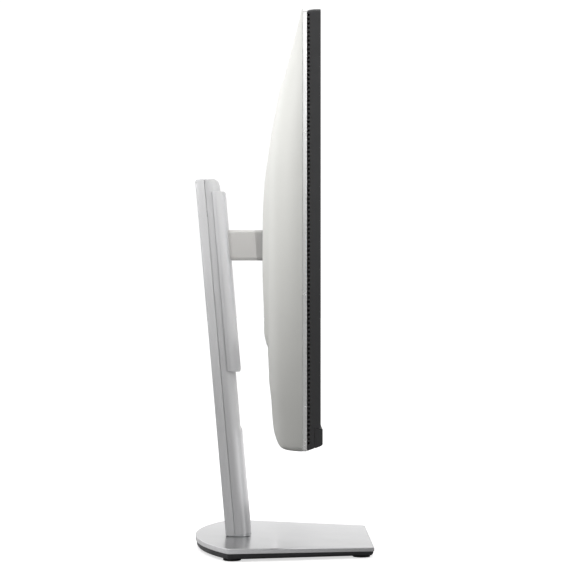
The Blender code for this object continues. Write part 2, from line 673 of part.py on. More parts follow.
def rear_cover():
    """Shell of two grids joined round the rim, the stand's pocket and the connector bay."""
    nx, nz = len(COVER_X), len(COVER_Z)
    cells = [(i, j) for j in range(nz - 1) for i in range(nx - 1)]
    verts, faces = [], []

    def add(point):
        verts.append(point)
        return len(verts) - 1

    def connect(chain):
        """Faces between successive edges, each a pair of vertices."""
        for (a, b), (next_a, next_b) in zip(chain, chain[1:]):
            faces.append((a, b, next_b, next_a))

    grid = {(i, j, inside): add(cover_point(i, j, inside))
            for inside in (False, True) for j in range(nz) for i in range(nx)}

    for i, j in cells:
        if not cell_hole(i, j):
            for inside in (False, True):
                faces.append((grid[i, j, inside], grid[i + 1, j, inside],
                              grid[i + 1, j + 1, inside], grid[i, j + 1, inside]))

    # rim: outer wall forward to the joint with the black frame, then across to the inside
    rim = ([(i, 0) for i in range(nx)] + [(nx - 1, j) for j in range(1, nz)]
           + [(i, nz - 1) for i in range(nx - 2, -1, -1)] + [(0, j) for j in range(nz - 2, 0, -1)])
    front = {}
    for i, j in rim:
        x, _, z = verts[grid[i, j, False]]
        front[i, j] = add((x, RIM_FRONT_Y, z))
    for edge in zip(rim, rim[1:] + rim[:1]):
        connect([[grid[*p, False] for p in edge], [front[p] for p in edge],
                 [grid[*p, True] for p in edge]])

    # holes: the pocket's walls run forward to its floor, the bay's only join the two grids
    floor_points = {}

    def floor_point(i, j, inside):
        key = (i, j, inside)
        if key not in floor_points:
            x, _, z = verts[grid[key]]
            floor_points[key] = add((x, POCKET_FLOOR_Y + GAP, z))
        return floor_points[key]

    for i, j in cells:
        kind = cell_hole(i, j)
        if not kind:
            continue
        neighbours = (((i - 1, j), ((i, j), (i, j + 1))),
                      ((i + 1, j), ((i + 1, j), (i + 1, j + 1))),
                      ((i, j - 1), ((i, j), (i + 1, j))),
                      ((i, j + 1), ((i, j + 1), (i + 1, j + 1))))
        for cell, edge in neighbours:
            if cell_hole(*cell):
                continue
            chain = [[grid[*p, False] for p in edge]]
            if kind == "pocket":
                chain += [[floor_point(*p, inside) for p in edge] for inside in (False, True)]
            chain.append([grid[*p, True] for p in edge])
            connect(chain)
    return build("rear_cover", verts, faces, "silver_cover", rides=TILT)


# keys on the back, near the edge at +X: name, height, half height
KEY_X = 281.0
KEY_LOW_Z, KEY_PITCH, MENU_KEYS = 150.0, 14.0, 4
KEYS = [(f"menu_key_{k + 1}", KEY_LOW_Z + k * KEY_PITCH, 2.6) for k in range(MENU_KEYS)]
KEYS.append(("power_key", 212.0, 4.0))
KEY_HALF_W = 6.0
KEY_PLAY = 0.4
LATCH_HALF_W = 8.0
LATCH_OPENING_X = span(LATCH_HALF_W + 0.5)

back = rear_cover()
for name, z, half in KEYS:
    cut(back, box(f"cut_{name}", span(KEY_HALF_W + KEY_PLAY, KEY_X), (-14, 20),
                  span(half + KEY_PLAY, z)))
cut(back, box("cut_latch_window", LATCH_OPENING_X, (9, 40), (209.5, 223.0)))
cut(back, box("cut_latch_slot", LATCH_OPENING_X, (11.9, 14.5), (225.5, 231.0)))
for side, sign in SIDES:
    cut(back, box(f"cut_hook_{side}", span(HOOK_HALF_W + 0.5, sign * HOOK_X), (6.0, 11.7),
                  (347, 353)))

# ---------------------------------------------------------------- head: inner structure
VESA_HALF = 50.0               # 100 x 100 mm hole pattern under the stand's bracket
VESA_HOLE_R = 2.1
CHASSIS_HALF_W = 135
CHASSIS_FRONT_Y, CHASSIS_BACK_Y = -19.8, 5.2
CHASSIS_LOW_Z, CHASSIS_TOP_Z = 211, 351
CHASSIS_WALL = 1

recess = box("recess_plate", span(64), (5.5, POCKET_FLOOR_Y), span(63.5, TILT_Z), "galvanised",
             rides=TILT)
for k, (sign_x, sign_z) in enumerate(((-1, -1), (1, -1), (1, 1), (-1, 1))):
    cut(recess, cylinder(f"cut_vesa_{k}", (sign_x * VESA_HALF, TILT_Z + sign_z * VESA_HALF),
                         VESA_HOLE_R, "y", (0, 20), n=12))

# box open at the front and below
chassis = box("chassis", span(CHASSIS_HALF_W), (CHASSIS_FRONT_Y, CHASSIS_BACK_Y),
              (CHASSIS_LOW_Z, CHASSIS_TOP_Z), "galvanised", rides=TILT)
cut(chassis, box("cut_chassis", span(CHASSIS_HALF_W - CHASSIS_WALL),
                 (-30, CHASSIS_BACK_Y - CHASSIS_WALL), (190, CHASSIS_TOP_Z - CHASSIS_WALL)))

# ---------------------------------------------------------------- head: front frame and panel
FRAME_X = span(HEAD_HALF_W - GAP)
FRAME_BACK_Y = RIM_FRONT_Y - GAP
FRAME_FRONT_Y = -28.7
FRAME_STEP_Y = -23.9           # the frame stands back here, behind the chin
FRAME_STEP_Z = CHIN_TOP_Z + 0.4
WINDOW_X = span(303.3)
# y, z
FRAME_OUTLINE = [(FRAME_BACK_Y, 475.0), (-20.9, 476.1), (-27.9, 476.1), (FRAME_FRONT_Y, 475.5),
                 (FRAME_FRONT_Y, FRAME_STEP_Z), (FRAME_STEP_Y, FRAME_STEP_Z),
                 (FRAME_STEP_Y, 117.6), (FRAME_BACK_Y, 115.3)]
CHIN_BACK_Y, CHIN_FRONT_Y = -24.2, -30.3
CHIN_OUTLINE = [(CHIN_BACK_Y, 117.7), (-28.7, 119.5), (CHIN_FRONT_Y, 121.0),
                (CHIN_FRONT_Y, 133.2), (-29.7, CHIN_TOP_Z), (CHIN_BACK_Y, CHIN_TOP_Z)]

# row of square vents down each side of the black frame
VENT_PITCH = 3.49
VENT_LOW_Z, VENT_COUNT = 122.0, 101
VENT_Y0, VENT_Y1, VENT_HEIGHT = -19.8, -18.0, 2.0
VENT_X, VENT_CUT_HALF = 305, 5

# piece, half width, y range, z range, look
PANEL_LAYERS = (
    ("lcd_panel", 303.0, (-28.4, -26.8), (134.6, 473.3), "lcd_glass"),
    ("optical_films", 301.5, (-26.4, -25.8), (135.0, 472.0), "film"),
    ("light_guide_plate", 300.0, (-25.4, -22.6), (137.8, 471.0), "light_guide"),
    ("led_strip", 298.0, (-25.4, -22.6), (134.8, 137.3), "led"),
    ("reflector_sheet", 300.5, (-22.2, -21.9), (136.0, 471.0), "film"),
    ("back_tray", 302.6, (-21.5, -20.5), (119.0, 473.2), "galvanised"),
)


def vent_cutter(name, x_range):
    """One small box for every vent of a side wall, in one cutter."""
    x0, x1 = x_range
    verts, faces = [], []
    for k in range(VENT_COUNT):
        n = len(verts)
        verts += [(x, y, z) for z in span(VENT_HEIGHT / 2, VENT_LOW_Z + k * VENT_PITCH)
                  for x, y in ((x0, VENT_Y0), (x1, VENT_Y0), (x1, VENT_Y1), (x0, VENT_Y1))]
        faces += [(n + 3, n + 2, n + 1, n), (n + 4, n + 5, n + 6, n + 7)]
        faces += band(n, n + 4, 4)
    return build(name, verts, faces)


frame = prism("front_frame", FRAME_OUTLINE, "x", FRAME_X, "black_plastic", rides=TILT)
cut(frame, box("cut_frame_window", WINDOW_X, (-40, -5), (CHIN_TOP_Z + 0.2, 473.6)))
cut(frame, box("cut_frame_sill", WINDOW_X, (-22.4, -5), (118.4, 136)))
for side, sign in SIDES:
    cut(frame, vent_cutter(f"cut_vents_{side}", span(VENT_CUT_HALF, sign * VENT_X)))
prism("chin_bezel", CHIN_OUTLINE, "x", FRAME_X, "black_plastic", rides=TILT)

for name, half_w, y_range, z_range, look in PANEL_LAYERS:
    box(name, span(half_w), y_range, z_range, look, rides=TILT)

# ---------------------------------------------------------------- head: circuit boards
BOARD_THICK = 1.6
# board, x range, front y, z range, tall components: (x range, height, z range)
BOARDS = (
    ("main_board", (5, 125), -10.8, (199.4, 300),
     (((50, 80), 4.5, (235, 262)), ((92, 108), 1.6, (240, 256)), ((20, 34), 3.0, (270, 282)))),
    ("power_board", (-128, -12), -10.8, (199.4, 318),
     (((-82, -50), 11.0, (262, 290)), ((-116, -98), 12.0, (250, 268)),
      ((-40, -26), 11.0, (225, 239)), ((-112, -92), 9.0, (288, 304)))),
    ("panel_driver_board", (-90, 90), -19.6, (126, 158),
     (((-20, -2), 1.2, (134, 150)), ((40, 74), 2.2, (140, 146)))),
    ("key_board", (273.5, 288.5), -12.2, (142, 222), ()),
)

for name, x_range, front_y, z_range, components in BOARDS:
    back_face_y = front_y + BOARD_THICK
    board = box(name, x_range, (front_y, back_face_y), z_range, "board", rides=TILT)
    for k, (part_x, height, part_z) in enumerate(components):
        join(board, box(f"add_{name}_{k}", part_x,
                        (front_y + BOARD_THICK / 2, back_face_y + height), part_z))

# ---------------------------------------------------------------- head: connector bay
# roof with the sockets, sloping inner wall and two cheeks; outlines are y, z
BAY_OUTER = [(12.0, 196.6), (-10.4, 196.6), (-10.4, 188.0), (9.6, 163.4), (12.0, 163.4)]
BAY_INNER = [(30, 194.6), (-8.4, 194.6), (-8.4, 188.6), (10.6, 165.4), (30, 165.4)]
BAY_OUTER_HALF_W, BAY_INNER_HALF_W = 117.5, 115.5
SOCKET_FRONT_Y, SOCKET_LOW_Z = -7.9, 194.9
SOCKET_ROOF = 5.0              # solid part above a socket's cavity
SOCKET_PLAY = 0.4
AUDIO_HOLE_R = 1.8
# socket, x, width, depth, height, cavity width and depth (None: a round hole)
SOCKETS = (
    ("hdmi_socket_1", 24, 15.2, 5.8, 15.5, (14.0, 4.4)),
    ("hdmi_socket_2", 46, 15.2, 5.8, 15.5, (14.0, 4.4)),
    ("displayport_socket", 69, 17.2, 5.9, 17.0, (16.0, 4.6)),
    ("usb_socket", 91, 12.2, 10.8, 18.0, (10.0, 8.6)),
    ("audio_socket", 107, 7.4, 7.4, 16.0, None),
    ("ac_inlet", -86, 27.2, 18.0, 15.4, (23.6, 14.6)),
)

bay = prism("connector_bay", BAY_OUTER, "x", span(BAY_OUTER_HALF_W), "black_plastic", rides=TILT)
cut(bay, prism("cut_bay", BAY_INNER, "x", span(BAY_INNER_HALF_W)))

for name, x, width, depth, height, cavity in SOCKETS:
    middle_y = SOCKET_FRONT_Y + depth / 2
    cavity_z = (180, SOCKET_LOW_Z + height - SOCKET_ROOF)
    socket = box(name, span(width / 2, x), span(depth / 2, middle_y),
                 (SOCKET_LOW_Z, SOCKET_LOW_Z + height),
                 "black_plastic" if name == "ac_inlet" else "connector", rides=TILT)
    if cavity:
        cut(socket, box(f"cut_{name}", span(cavity[0] / 2, x), span(cavity[1] / 2, middle_y),
                        cavity_z))
    else:
        cut(socket, cylinder(f"cut_{name}", (x, middle_y), AUDIO_HOLE_R, "z", cavity_z, n=14))
    cut(bay, box(f"cut_bay_{name}", span(width / 2 + SOCKET_PLAY, x),
                 span(depth / 2 + SOCKET_PLAY, middle_y), (190, 200)))

# ---------------------------------------------------------------- latch and keys (slide in the head)
LATCH_LOW_Z = 214.5
SPRING_Y = 11.2
SPRING_LOW_Z, SPRING_TOP_Z = 205.0, 214.1
SPRING_R, WIRE_R = 2.0, 0.35
SPRING_TURNS, STEPS_PER_TURN, WIRE_SIDES = 4.5, 10, 6
KEY_FRONT_Y, KEY_TOP_Y = -8.6, 2.8
KEY_CORNER_R = 1.2
# inset of the section, y
KEY_STATIONS = ((0.0, KEY_FRONT_Y), (0.0, KEY_TOP_Y - 0.5), (0.4, KEY_TOP_Y))

latch = box("release_latch", span(LATCH_HALF_W), (12.3, 14.0), (LATCH_LOW_Z, 242.5),
            "key_plastic", rides=TILT, origin=(0, 13, 218))
join(latch, box("add_latch_grip", span(LATCH_HALF_W), (13.0, 17.2), (LATCH_LOW_Z, 222.0)))


def release_spring():
    """Round-wire compression spring with its axis along Z."""
    steps = int(SPRING_TURNS * STEPS_PER_TURN)
    rise = SPRING_TOP_Z - SPRING_LOW_Z - 2 * WIRE_R
    loops = []
    for k in range(steps + 1):
        turn = 2 * math.pi * SPRING_TURNS * k / steps
        outward = Vector((math.cos(turn), math.sin(turn), 0))
        centre = Vector((0, SPRING_Y, SPRING_LOW_Z + WIRE_R + rise * k / steps))
        centre += outward * SPRING_R
        loops.append([tuple(centre + outward * a + Vector((0, 0, b)))
                      for a, b in circle((0, 0), WIRE_R, WIRE_SIDES)])
    loft("release_spring", loops, "spring_steel", rides=TILT)


release_spring()

for name, z, half in KEYS:
    loft(name,
         [[(a, y, b) for a, b in upright_section(KEY_HALF_W - inset, span(half - inset, z),
                                                 KEY_CORNER_R, 3, KEY_X)]
          for inset, y in KEY_STATIONS],
         "key_plastic", rides=TILT, origin=(KEY_X, KEY_TOP_Y, z))
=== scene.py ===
import json
import math

import bmesh
import bpy
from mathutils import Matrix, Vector


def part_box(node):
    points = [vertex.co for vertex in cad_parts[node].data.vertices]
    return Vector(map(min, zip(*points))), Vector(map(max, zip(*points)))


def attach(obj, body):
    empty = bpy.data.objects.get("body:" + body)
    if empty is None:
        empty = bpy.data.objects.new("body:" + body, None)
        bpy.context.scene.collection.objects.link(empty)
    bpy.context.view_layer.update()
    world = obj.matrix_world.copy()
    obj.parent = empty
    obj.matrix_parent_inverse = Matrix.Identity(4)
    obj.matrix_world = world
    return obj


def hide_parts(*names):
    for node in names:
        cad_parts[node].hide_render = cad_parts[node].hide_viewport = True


MM = 0.001
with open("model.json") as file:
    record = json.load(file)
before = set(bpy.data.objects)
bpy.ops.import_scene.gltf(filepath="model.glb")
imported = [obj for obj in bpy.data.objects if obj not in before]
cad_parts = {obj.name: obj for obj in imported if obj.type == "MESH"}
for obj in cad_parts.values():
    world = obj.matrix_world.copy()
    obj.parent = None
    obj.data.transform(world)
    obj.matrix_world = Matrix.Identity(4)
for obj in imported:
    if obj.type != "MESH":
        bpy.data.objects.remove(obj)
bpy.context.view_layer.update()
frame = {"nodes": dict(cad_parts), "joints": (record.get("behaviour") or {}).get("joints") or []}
NODES = frame["nodes"]


# ------------------------------------------------------------------ places, all from the frame (mm)
def corners(node):
    low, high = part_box(node)
    return [v / MM for v in low], [v / MM for v in high]


JOINTS = {j["name"]: j for j in frame["joints"]}

cover_low, cover_high = corners("rear_cover")
HALF_W = cover_high[0]
BOTTOM, TOP = cover_low[2], cover_high[2]
RIM_FRONT = cover_low[1]
RIM_BACK = RIM_FRONT + 3.8
frame_low, frame_high = corners("front_frame")
chin_low, chin_high = corners("chin_bezel")
panel_low, panel_high = corners("lcd_panel")
shell_low, shell_high = corners("column_shell")
carriage_low, carriage_high = corners("carriage_cover")
arm_low, arm_high = corners("arm_shell")
plate_low, plate_high = corners("base_plate")
pan_low, pan_high = corners("base_pan")

slide = JOINTS["height_slide"]["axis"]
swivel = JOINTS["stand_swivel"]
LEAN = slide[1] / slide[2]


# ------------------------------------------------------------------ materials
class Nodes:
    """Short way to wire shader nodes."""

    def __init__(self, name):
        self.mat = bpy.data.materials.new(name)
        self.mat.use_nodes = True
        self.tree = self.mat.node_tree
        self.shader = self.tree.nodes["Principled BSDF"]
        self.coord = self.add("ShaderNodeTexCoord").outputs["Object"]

    def add(self, kind, **values):
        node = self.tree.nodes.new(kind)
        for key, value in values.items():
            setattr(node, key, value)
        return node

    def link(self, a, b):
        self.tree.links.new(a, b)

    def put(self, socket, value):
        if hasattr(value, "is_output"):
            self.link(value, socket)
        else:
            socket.default_value = value

    def math(self, op, a, b=None, c=None, clamp=False):
        node = self.add("ShaderNodeMath", operation=op, use_clamp=clamp)
        for i, v in enumerate((a, b, c)):
            if v is not None:
                self.put(node.inputs[i], v)
        return node.outputs[0]

    def noise(self, scale, detail=2.0, rough=0.5, stretch=None):
        vector = self.coord
        if stretch:
            mapping = self.add("ShaderNodeMapping")
            mapping.inputs["Scale"].default_value = stretch
            self.link(self.coord, mapping.inputs["Vector"])
            vector = mapping.outputs[0]
        node = self.add("ShaderNodeTexNoise")
        self.link(vector, node.inputs["Vector"])
        node.inputs["Scale"].default_value = scale
        node.inputs["Detail"].default_value = detail
        node.inputs["Roughness"].default_value = rough
        return node.outputs["Fac"]

    def cells(self, scale, feature="F1"):
        node = self.add("ShaderNodeTexVoronoi", feature=feature)
        self.link(self.coord, node.inputs["Vector"])
        node.inputs["Scale"].default_value = scale
        return node.outputs["Distance"]

    def span(self, value, low, high, out_low, out_high):
        node = self.add("ShaderNodeMapRange", clamp=True)
        self.link(value, node.inputs["Value"])
        for key, v in (("From Min", low), ("From Max", high), ("To Min", out_low), ("To Max", out_high)):
            node.inputs[key].default_value = v
        return node.outputs[0]

    def mix(self, factor, a, b, blend="MIX"):
        node = self.add("ShaderNodeMix", data_type="RGBA", blend_type=blend)
        self.put(node.inputs["Factor"], factor)
        for socket, v in ((node.inputs[6], a), (node.inputs[7], b)):
            self.put(socket, (*v, 1.0) if isinstance(v, tuple) else v)
        return node.outputs[2]

    def grey(self, value):
        node = self.add("ShaderNodeCombineColor")
        for i in range(3):
            self.put(node.inputs[i], value)
        return node.outputs[0]

    def axis(self, i):
        if not hasattr(self, "split"):
            self.split = self.add("ShaderNodeSeparateXYZ")
            self.link(self.coord, self.split.inputs[0])
        return self.split.outputs[i]

    def edge(self, radius):
        """1 on convex or concave edges, 0 on open faces."""
        bevel = self.add("ShaderNodeBevel", samples=4)
        bevel.inputs["Radius"].default_value = radius
        geometry = self.add("ShaderNodeNewGeometry")
        dot = self.add("ShaderNodeVectorMath", operation="DOT_PRODUCT")
        self.link(bevel.outputs[0], dot.inputs[0])
        self.link(geometry.outputs["Normal"], dot.inputs[1])
        return self.span(self.math("SUBTRACT", 1.0, dot.outputs["Value"]), 0.01, 0.25, 0.0, 1.0)


def finish(name, colour, rough, metallic=0.0, grain=2600.0, bump=0.25, depth=0.00002, tint=0.03, drift=9.0,
           rough_play=0.05, wear=0.0, wear_colour=None, brushed=None, spec=0.5, coat=0.0, flake=0.0,
           speckle=0.0, sweep=False):
    """One moulded, painted or bare-metal finish with grain, colour drift, smudges and worn edges; sweep paints shade
    and light into the colour.
    """
    n = Nodes(name)
    drifted = n.span(n.noise(drift, 4.0, 0.55), 0.3, 0.7, 1.0 - tint, 1.0 + tint)
    base = n.mix(1.0, colour, n.grey(drifted), "MULTIPLY")
    if sweep:
        # painted shade and light on the plate: its top is darker towards -x and lighter towards the front, its cut edge
        # darker towards the front and lighter towards the back
        shade_across = n.span(n.axis(0), -0.12, 0.12, 0.72, 1.06)
        shade_along_top = n.span(n.axis(1), -0.084, 0.083, 1.03, 0.94)
        shade_along_edge = n.span(n.axis(1), -0.084, 0.06, 0.82, 1.42)
        up = n.add("ShaderNodeSeparateXYZ")
        n.link(n.add("ShaderNodeNewGeometry").outputs["Normal"], up.inputs[0])
        flat = n.span(up.outputs[2], 0.3, 0.9, 0.0, 1.0)
        painted_shade = n.mix(flat, n.grey(shade_along_edge), n.grey(n.math("MULTIPLY", shade_across, shade_along_top)))
        base = n.mix(1.0, base, painted_shade, "MULTIPLY")
    if speckle:
        dots = n.span(n.cells(grain * 0.9), 0.0, 0.35, 1.0 - speckle, 1.0)
        base = n.mix(1.0, base, n.grey(dots), "MULTIPLY")
    if flake:
        shine = n.span(n.noise(grain * 0.6, 1.0, 0.4), 0.55, 0.75, 0.0, flake)
        base = n.mix(shine, base, tuple(min(1.0, c * 1.35 + 0.05) for c in colour))
    smudge = n.span(n.noise(drift * 5.0, 5.0, 0.65), 0.35, 0.7, rough - rough_play, rough + rough_play)
    roughness = smudge
    if wear:
        worn = n.math("MULTIPLY", n.edge(0.0006), n.span(n.noise(140.0, 4.0, 0.7), 0.3, 0.62, 0.15, wear))
        base = n.mix(worn, base, wear_colour or tuple(min(1.0, c * 1.5 + 0.03) for c in colour))
        roughness = n.math("SUBTRACT", smudge, n.math("MULTIPLY", worn, 0.10), clamp=True)
    n.link(base, n.shader.inputs["Base Color"])
    n.link(roughness, n.shader.inputs["Roughness"])
    n.shader.inputs["Metallic"].default_value = metallic
    n.shader.inputs["Specular IOR Level"].default_value = spec
    n.shader.inputs["Coat Weight"].default_value = coat
    n.shader.inputs["Coat Roughness"].default_value = 0.25
    fine = n.noise(grain, 2.0, 0.6)
    if brushed:
        fine = n.math("ADD", n.math("MULTIPLY", fine, 0.35),
                      n.math("MULTIPLY", n.noise(1.0, 3.0, 0.6, stretch=brushed), 0.65))
    height = n.add("ShaderNodeBump")
    height.inputs["Strength"].default_value = bump
    height.inputs["Distance"].default_value = depth
    n.link(fine, height.inputs["Height"])
    n.link(height.outputs[0], n.shader.inputs["Normal"])
    return n


def panel_finish():
    """Screen: deep grey anti-glare image area inside a black border."""
    n = Nodes("lcd_glass")
    x = n.math("ABSOLUTE", n.axis(0))
    z = n.math("ABSOLUTE", n.math("SUBTRACT", n.axis(2), ((panel_low[2] + 1.2 + panel_high[2] - 1.5) / 2) * MM))
    inside = n.math("MULTIPLY", n.math("LESS_THAN", x, 0.29885),
                    n.math("LESS_THAN", z, (panel_high[2] - panel_low[2] - 2.7) / 2 * MM))
    front = n.math("LESS_THAN", n.axis(1), (panel_low[1] + 0.4) * MM)
    lit = n.math("MULTIPLY", inside, front)
    drift = n.span(n.noise(5.0, 3.0), 0.3, 0.7, 0.0, 1.0)
    image = n.mix(drift, (0.013, 0.014, 0.017), (0.017, 0.018, 0.021))
    # a very fine dot structure of the image area
    dots = n.math("MULTIPLY", n.math("SINE", n.math("MULTIPLY", n.axis(0), 13500.0)),
                  n.math("SINE", n.math("MULTIPLY", n.axis(2), 13500.0)))
    image = n.mix(n.span(dots, -1.0, 1.0, 0.0, 0.25), image, (0.024, 0.026, 0.030))
    n.link(n.mix(lit, (0.006, 0.006, 0.007), image), n.shader.inputs["Base Color"])
    haze = n.span(n.noise(3200.0, 2.0), 0.3, 0.7, 0.20, 0.32)
    n.link(n.mix(lit, n.grey(n.span(n.noise(30.0), 0.3, 0.7, 0.10, 0.16)), n.grey(haze)), n.shader.inputs["Roughness"])
    n.shader.inputs["Specular IOR Level"].default_value = 0.5
    bump = n.add("ShaderNodeBump")
    bump.inputs["Strength"].default_value = 0.12
    bump.inputs["Distance"].default_value = 0.00001
    n.link(n.noise(5200.0, 2.0), bump.inputs["Height"])
    n.link(bump.outputs[0], n.shader.inputs["Normal"])
    return n


def board_finish():
    """Circuit board: green lacquer, lighter tracks, small solder points."""
    n = Nodes("board")
    brick = n.add("ShaderNodeTexBrick")
    n.link(n.coord, brick.inputs["Vector"])
    brick.inputs["Scale"].default_value = 260.0
    brick.inputs["Mortar Size"].default_value = 0.06
    brick.inputs["Color1"].default_value = (0.018, 0.16, 0.07, 1)
    brick.inputs["Color2"].default_value = (0.022, 0.19, 0.08, 1)
    brick.inputs["Mortar"].default_value = (0.04, 0.27, 0.12, 1)
    solder = n.span(n.cells(420.0), 0.08, 0.14, 1.0, 0.0)
    n.link(n.mix(solder, brick.outputs["Color"], (0.55, 0.56, 0.55)), n.shader.inputs["Base Color"])
    n.link(solder, n.shader.inputs["Metallic"])
    n.link(n.span(n.noise(80.0), 0.3, 0.7, 0.30, 0.45), n.shader.inputs["Roughness"])
    bump = n.add("ShaderNodeBump")
    bump.inputs["Strength"].default_value = 0.3
    bump.inputs["Distance"].default_value = 0.00008
    n.link(n.math("ADD", brick.outputs["Fac"], solder), bump.inputs["Height"])
    n.link(bump.outputs[0], n.shader.inputs["Normal"])
    return n


def clear_finish():
    """Light guide: clear acrylic."""
    n = finish("light_guide", (0.80, 0.86, 0.90), 0.12, tint=0.02, grain=900.0, bump=0.1, rough_play=0.03)
    n.shader.inputs["Transmission Weight"].default_value = 0.75
    n.shader.inputs["IOR"].default_value = 1.49
    return n


def led_finish():
    """LED bar: pale board with a row of yellow emitters."""
    n = Nodes("led")
    wave = n.math("FRACT", n.math("MULTIPLY", n.axis(0), 160.0))
    chip = n.math("MULTIPLY", n.math("GREATER_THAN", wave, 0.25), n.math("LESS_THAN", wave, 0.75))
    colour = n.mix(chip, (0.75, 0.76, 0.74), (0.90, 0.72, 0.22))
    n.link(n.mix(1.0, colour, n.grey(n.span(n.noise(50.0), 0.3, 0.7, 0.95, 1.05)), "MULTIPLY"),
           n.shader.inputs["Base Color"])
    n.link(n.span(n.noise(220.0), 0.3, 0.7, 0.30, 0.45), n.shader.inputs["Roughness"])
    return n


FINISHES = {
    "silver_cover": finish("silver_cover", (0.80, 0.80, 0.765), 0.62, 0.05, grain=3000, bump=0.14, depth=0.000012,
                           tint=0.008, drift=4.0, rough_play=0.03, wear=0.15, wear_colour=(0.88, 0.88, 0.85),
                           flake=0.10, spec=0.55),
    "silver_rim": finish("silver_rim", (0.92, 0.92, 0.91), 0.26, 0.45, grain=2137, bump=0.05, depth=0.00001,
                         tint=0.006, drift=6.0, rough_play=0.03, wear=0.0,
                         flake=0.0, spec=0.6),
    "silver_stand": finish("silver_stand", (0.62, 0.62, 0.63), 0.38, 0.40, grain=3000, bump=0.12, depth=0.000012,
                           tint=0.008, drift=5.0, rough_play=0.03, wear=0.15, wear_colour=(0.80, 0.80, 0.80),
                           flake=0.10, spec=0.55),
    # lighter copy of silver_stand for the column's rear cover: painted light, which makes the rear strip brighter than
    # the side beside it
    "silver_stand_rear_painted_light": finish("silver_stand_rear_painted_light", (0.74, 0.74, 0.75), 0.38, 0.40, grain=3000, bump=0.12, depth=0.000012,
                                tint=0.008, drift=5.0, rough_play=0.03, wear=0.15, wear_colour=(0.80, 0.80, 0.80),
                                flake=0.10, spec=0.55),
    # sweep=True paints shade and light into the base plate's colour
    "silver_base": finish("silver_base", (0.66, 0.66, 0.67), 0.22, 0.90, grain=3400, bump=0.08, depth=0.000006,
                          tint=0.006, drift=4.0, rough_play=0.025, wear=0.0, sweep=True),
    "arm_metal": finish("arm_metal", (0.575, 0.565, 0.55), 0.45, 0.3, grain=3000, bump=0.14, depth=0.000012,
                        tint=0.008, drift=8.0, rough_play=0.03, wear=0.15, wear_colour=(0.72, 0.71, 0.69),
                        flake=0.08),
    "black_plastic": finish("black_plastic", (0.036, 0.036, 0.038), 0.46, 0.0, grain=2200, bump=0.35, depth=0.00003,
                            tint=0.06, drift=14.0, rough_play=0.05, wear=0.30, wear_colour=(0.10, 0.10, 0.10)),
    "key_plastic": finish("key_plastic", (0.10, 0.10, 0.105), 0.40, 0.0, grain=2400, bump=0.25, depth=0.00002,
                          tint=0.05, drift=60.0, wear=0.40, wear_colour=(0.24, 0.24, 0.24)),
    "steel": finish("steel", (0.52, 0.53, 0.54), 0.28, 1.0, grain=1800, bump=0.20, depth=0.00001, tint=0.03,
                    drift=50.0, brushed=(300, 3000, 3000)),
    "galvanised": finish("galvanised", (0.56, 0.57, 0.58), 0.42, 0.9, grain=500, bump=0.15, depth=0.00002, tint=0.10,
                         drift=60.0, rough_play=0.10, wear=0.3, speckle=0.12),
    "spring_steel": finish("spring_steel", (0.44, 0.45, 0.47), 0.24, 1.0, grain=1800, bump=0.15, depth=0.00001,
                           tint=0.04, drift=60.0, brushed=(300, 3000, 3000)),
    "nylon": finish("nylon", (0.052, 0.052, 0.052), 0.55, 0.0, grain=1200, bump=0.3, tint=0.05, drift=80.0),
    "acetal": finish("acetal", (0.74, 0.73, 0.69), 0.48, 0.0, grain=1500, bump=0.2, tint=0.03, drift=40.0),
    "rubber": finish("rubber", (0.022, 0.022, 0.022), 0.82, 0.0, grain=1400, bump=0.5, depth=0.00006, tint=0.10,
                     drift=90.0, speckle=0.25),
    "film": finish("film", (0.82, 0.83, 0.85), 0.55, 0.0, grain=2500, bump=0.1, tint=0.01, drift=6.0),
    "connector": finish("connector", (0.62, 0.62, 0.63), 0.28, 0.95, grain=1600, bump=0.15, depth=0.00001, tint=0.04,
                        drift=90.0, wear=0.4, brushed=(2500, 2500, 300)),
    "lcd_glass": panel_finish(),
    "board": board_finish(),
    "light_guide": clear_finish(),
    "led": led_finish(),
}
MATS = {k: n.mat for k, n in FINISHES.items()}

SLOT_OF = {}
for slot_name, names in {
    "silver_cover": ["rear_cover"],
    "silver_stand": ["column_shell", "carriage_cover"],
    "silver_stand_rear_painted_light": ["column_rear_cover"],
    "silver_base": ["base_plate"],
    "arm_metal": ["arm_shell"],
    "black_plastic": ["base_pan", "front_frame", "chin_bezel", "connector_bay", "ac_inlet"],
    "key_plastic": ["menu_key_1", "menu_key_2", "menu_key_3", "menu_key_4", "power_key", "release_latch"],
    "steel": ["swivel_spindle", "swivel_nut", "guide_rail_left", "guide_rail_right", "column_screw_left",
              "column_screw_right", "spring_axle", "arm_screw_upper", "arm_screw_lower", "tilt_pin", "tilt_nut"],
    "galvanised": ["foot_block", "spring_anchor", "tilt_bracket", "recess_plate", "chassis", "back_tray"],
    "spring_steel": ["lift_spring", "friction_washer_left", "friction_washer_right", "release_spring"],
    "nylon": ["swivel_washer", "thrust_washer"],
    "acetal": ["slider_block"],
    "rubber": ["foot_rear_left", "foot_rear_right", "foot_front_left", "foot_front_right"],
    "lcd_glass": ["lcd_panel"],
    "film": ["optical_films", "reflector_sheet"],
    "light_guide": ["light_guide_plate"],
    "led": ["led_strip"],
    "board": ["main_board", "power_board", "panel_driver_board", "key_board"],
    "connector": ["hdmi_socket_1", "hdmi_socket_2", "displayport_socket", "usb_socket", "audio_socket"],
}.items():
    for node_name in names:
        SLOT_OF[node_name] = slot_name

for node_name, ob in NODES.items():
    ob.data.materials.clear()
    ob.data.materials.append(MATS[SLOT_OF[node_name]])


# ------------------------------------------------------------------ mesh helpers (millimetres in, metres out)
def raw(name, verts, faces):
    mesh = bpy.data.meshes.new(name)
    mesh.from_pydata([(x * MM, y * MM, z * MM) for x, y, z in verts], [], faces)
    mesh.update()
    ob = bpy.data.objects.new(name, mesh)
    bpy.context.scene.collection.objects.link(ob)
    tidy(ob)
    return ob


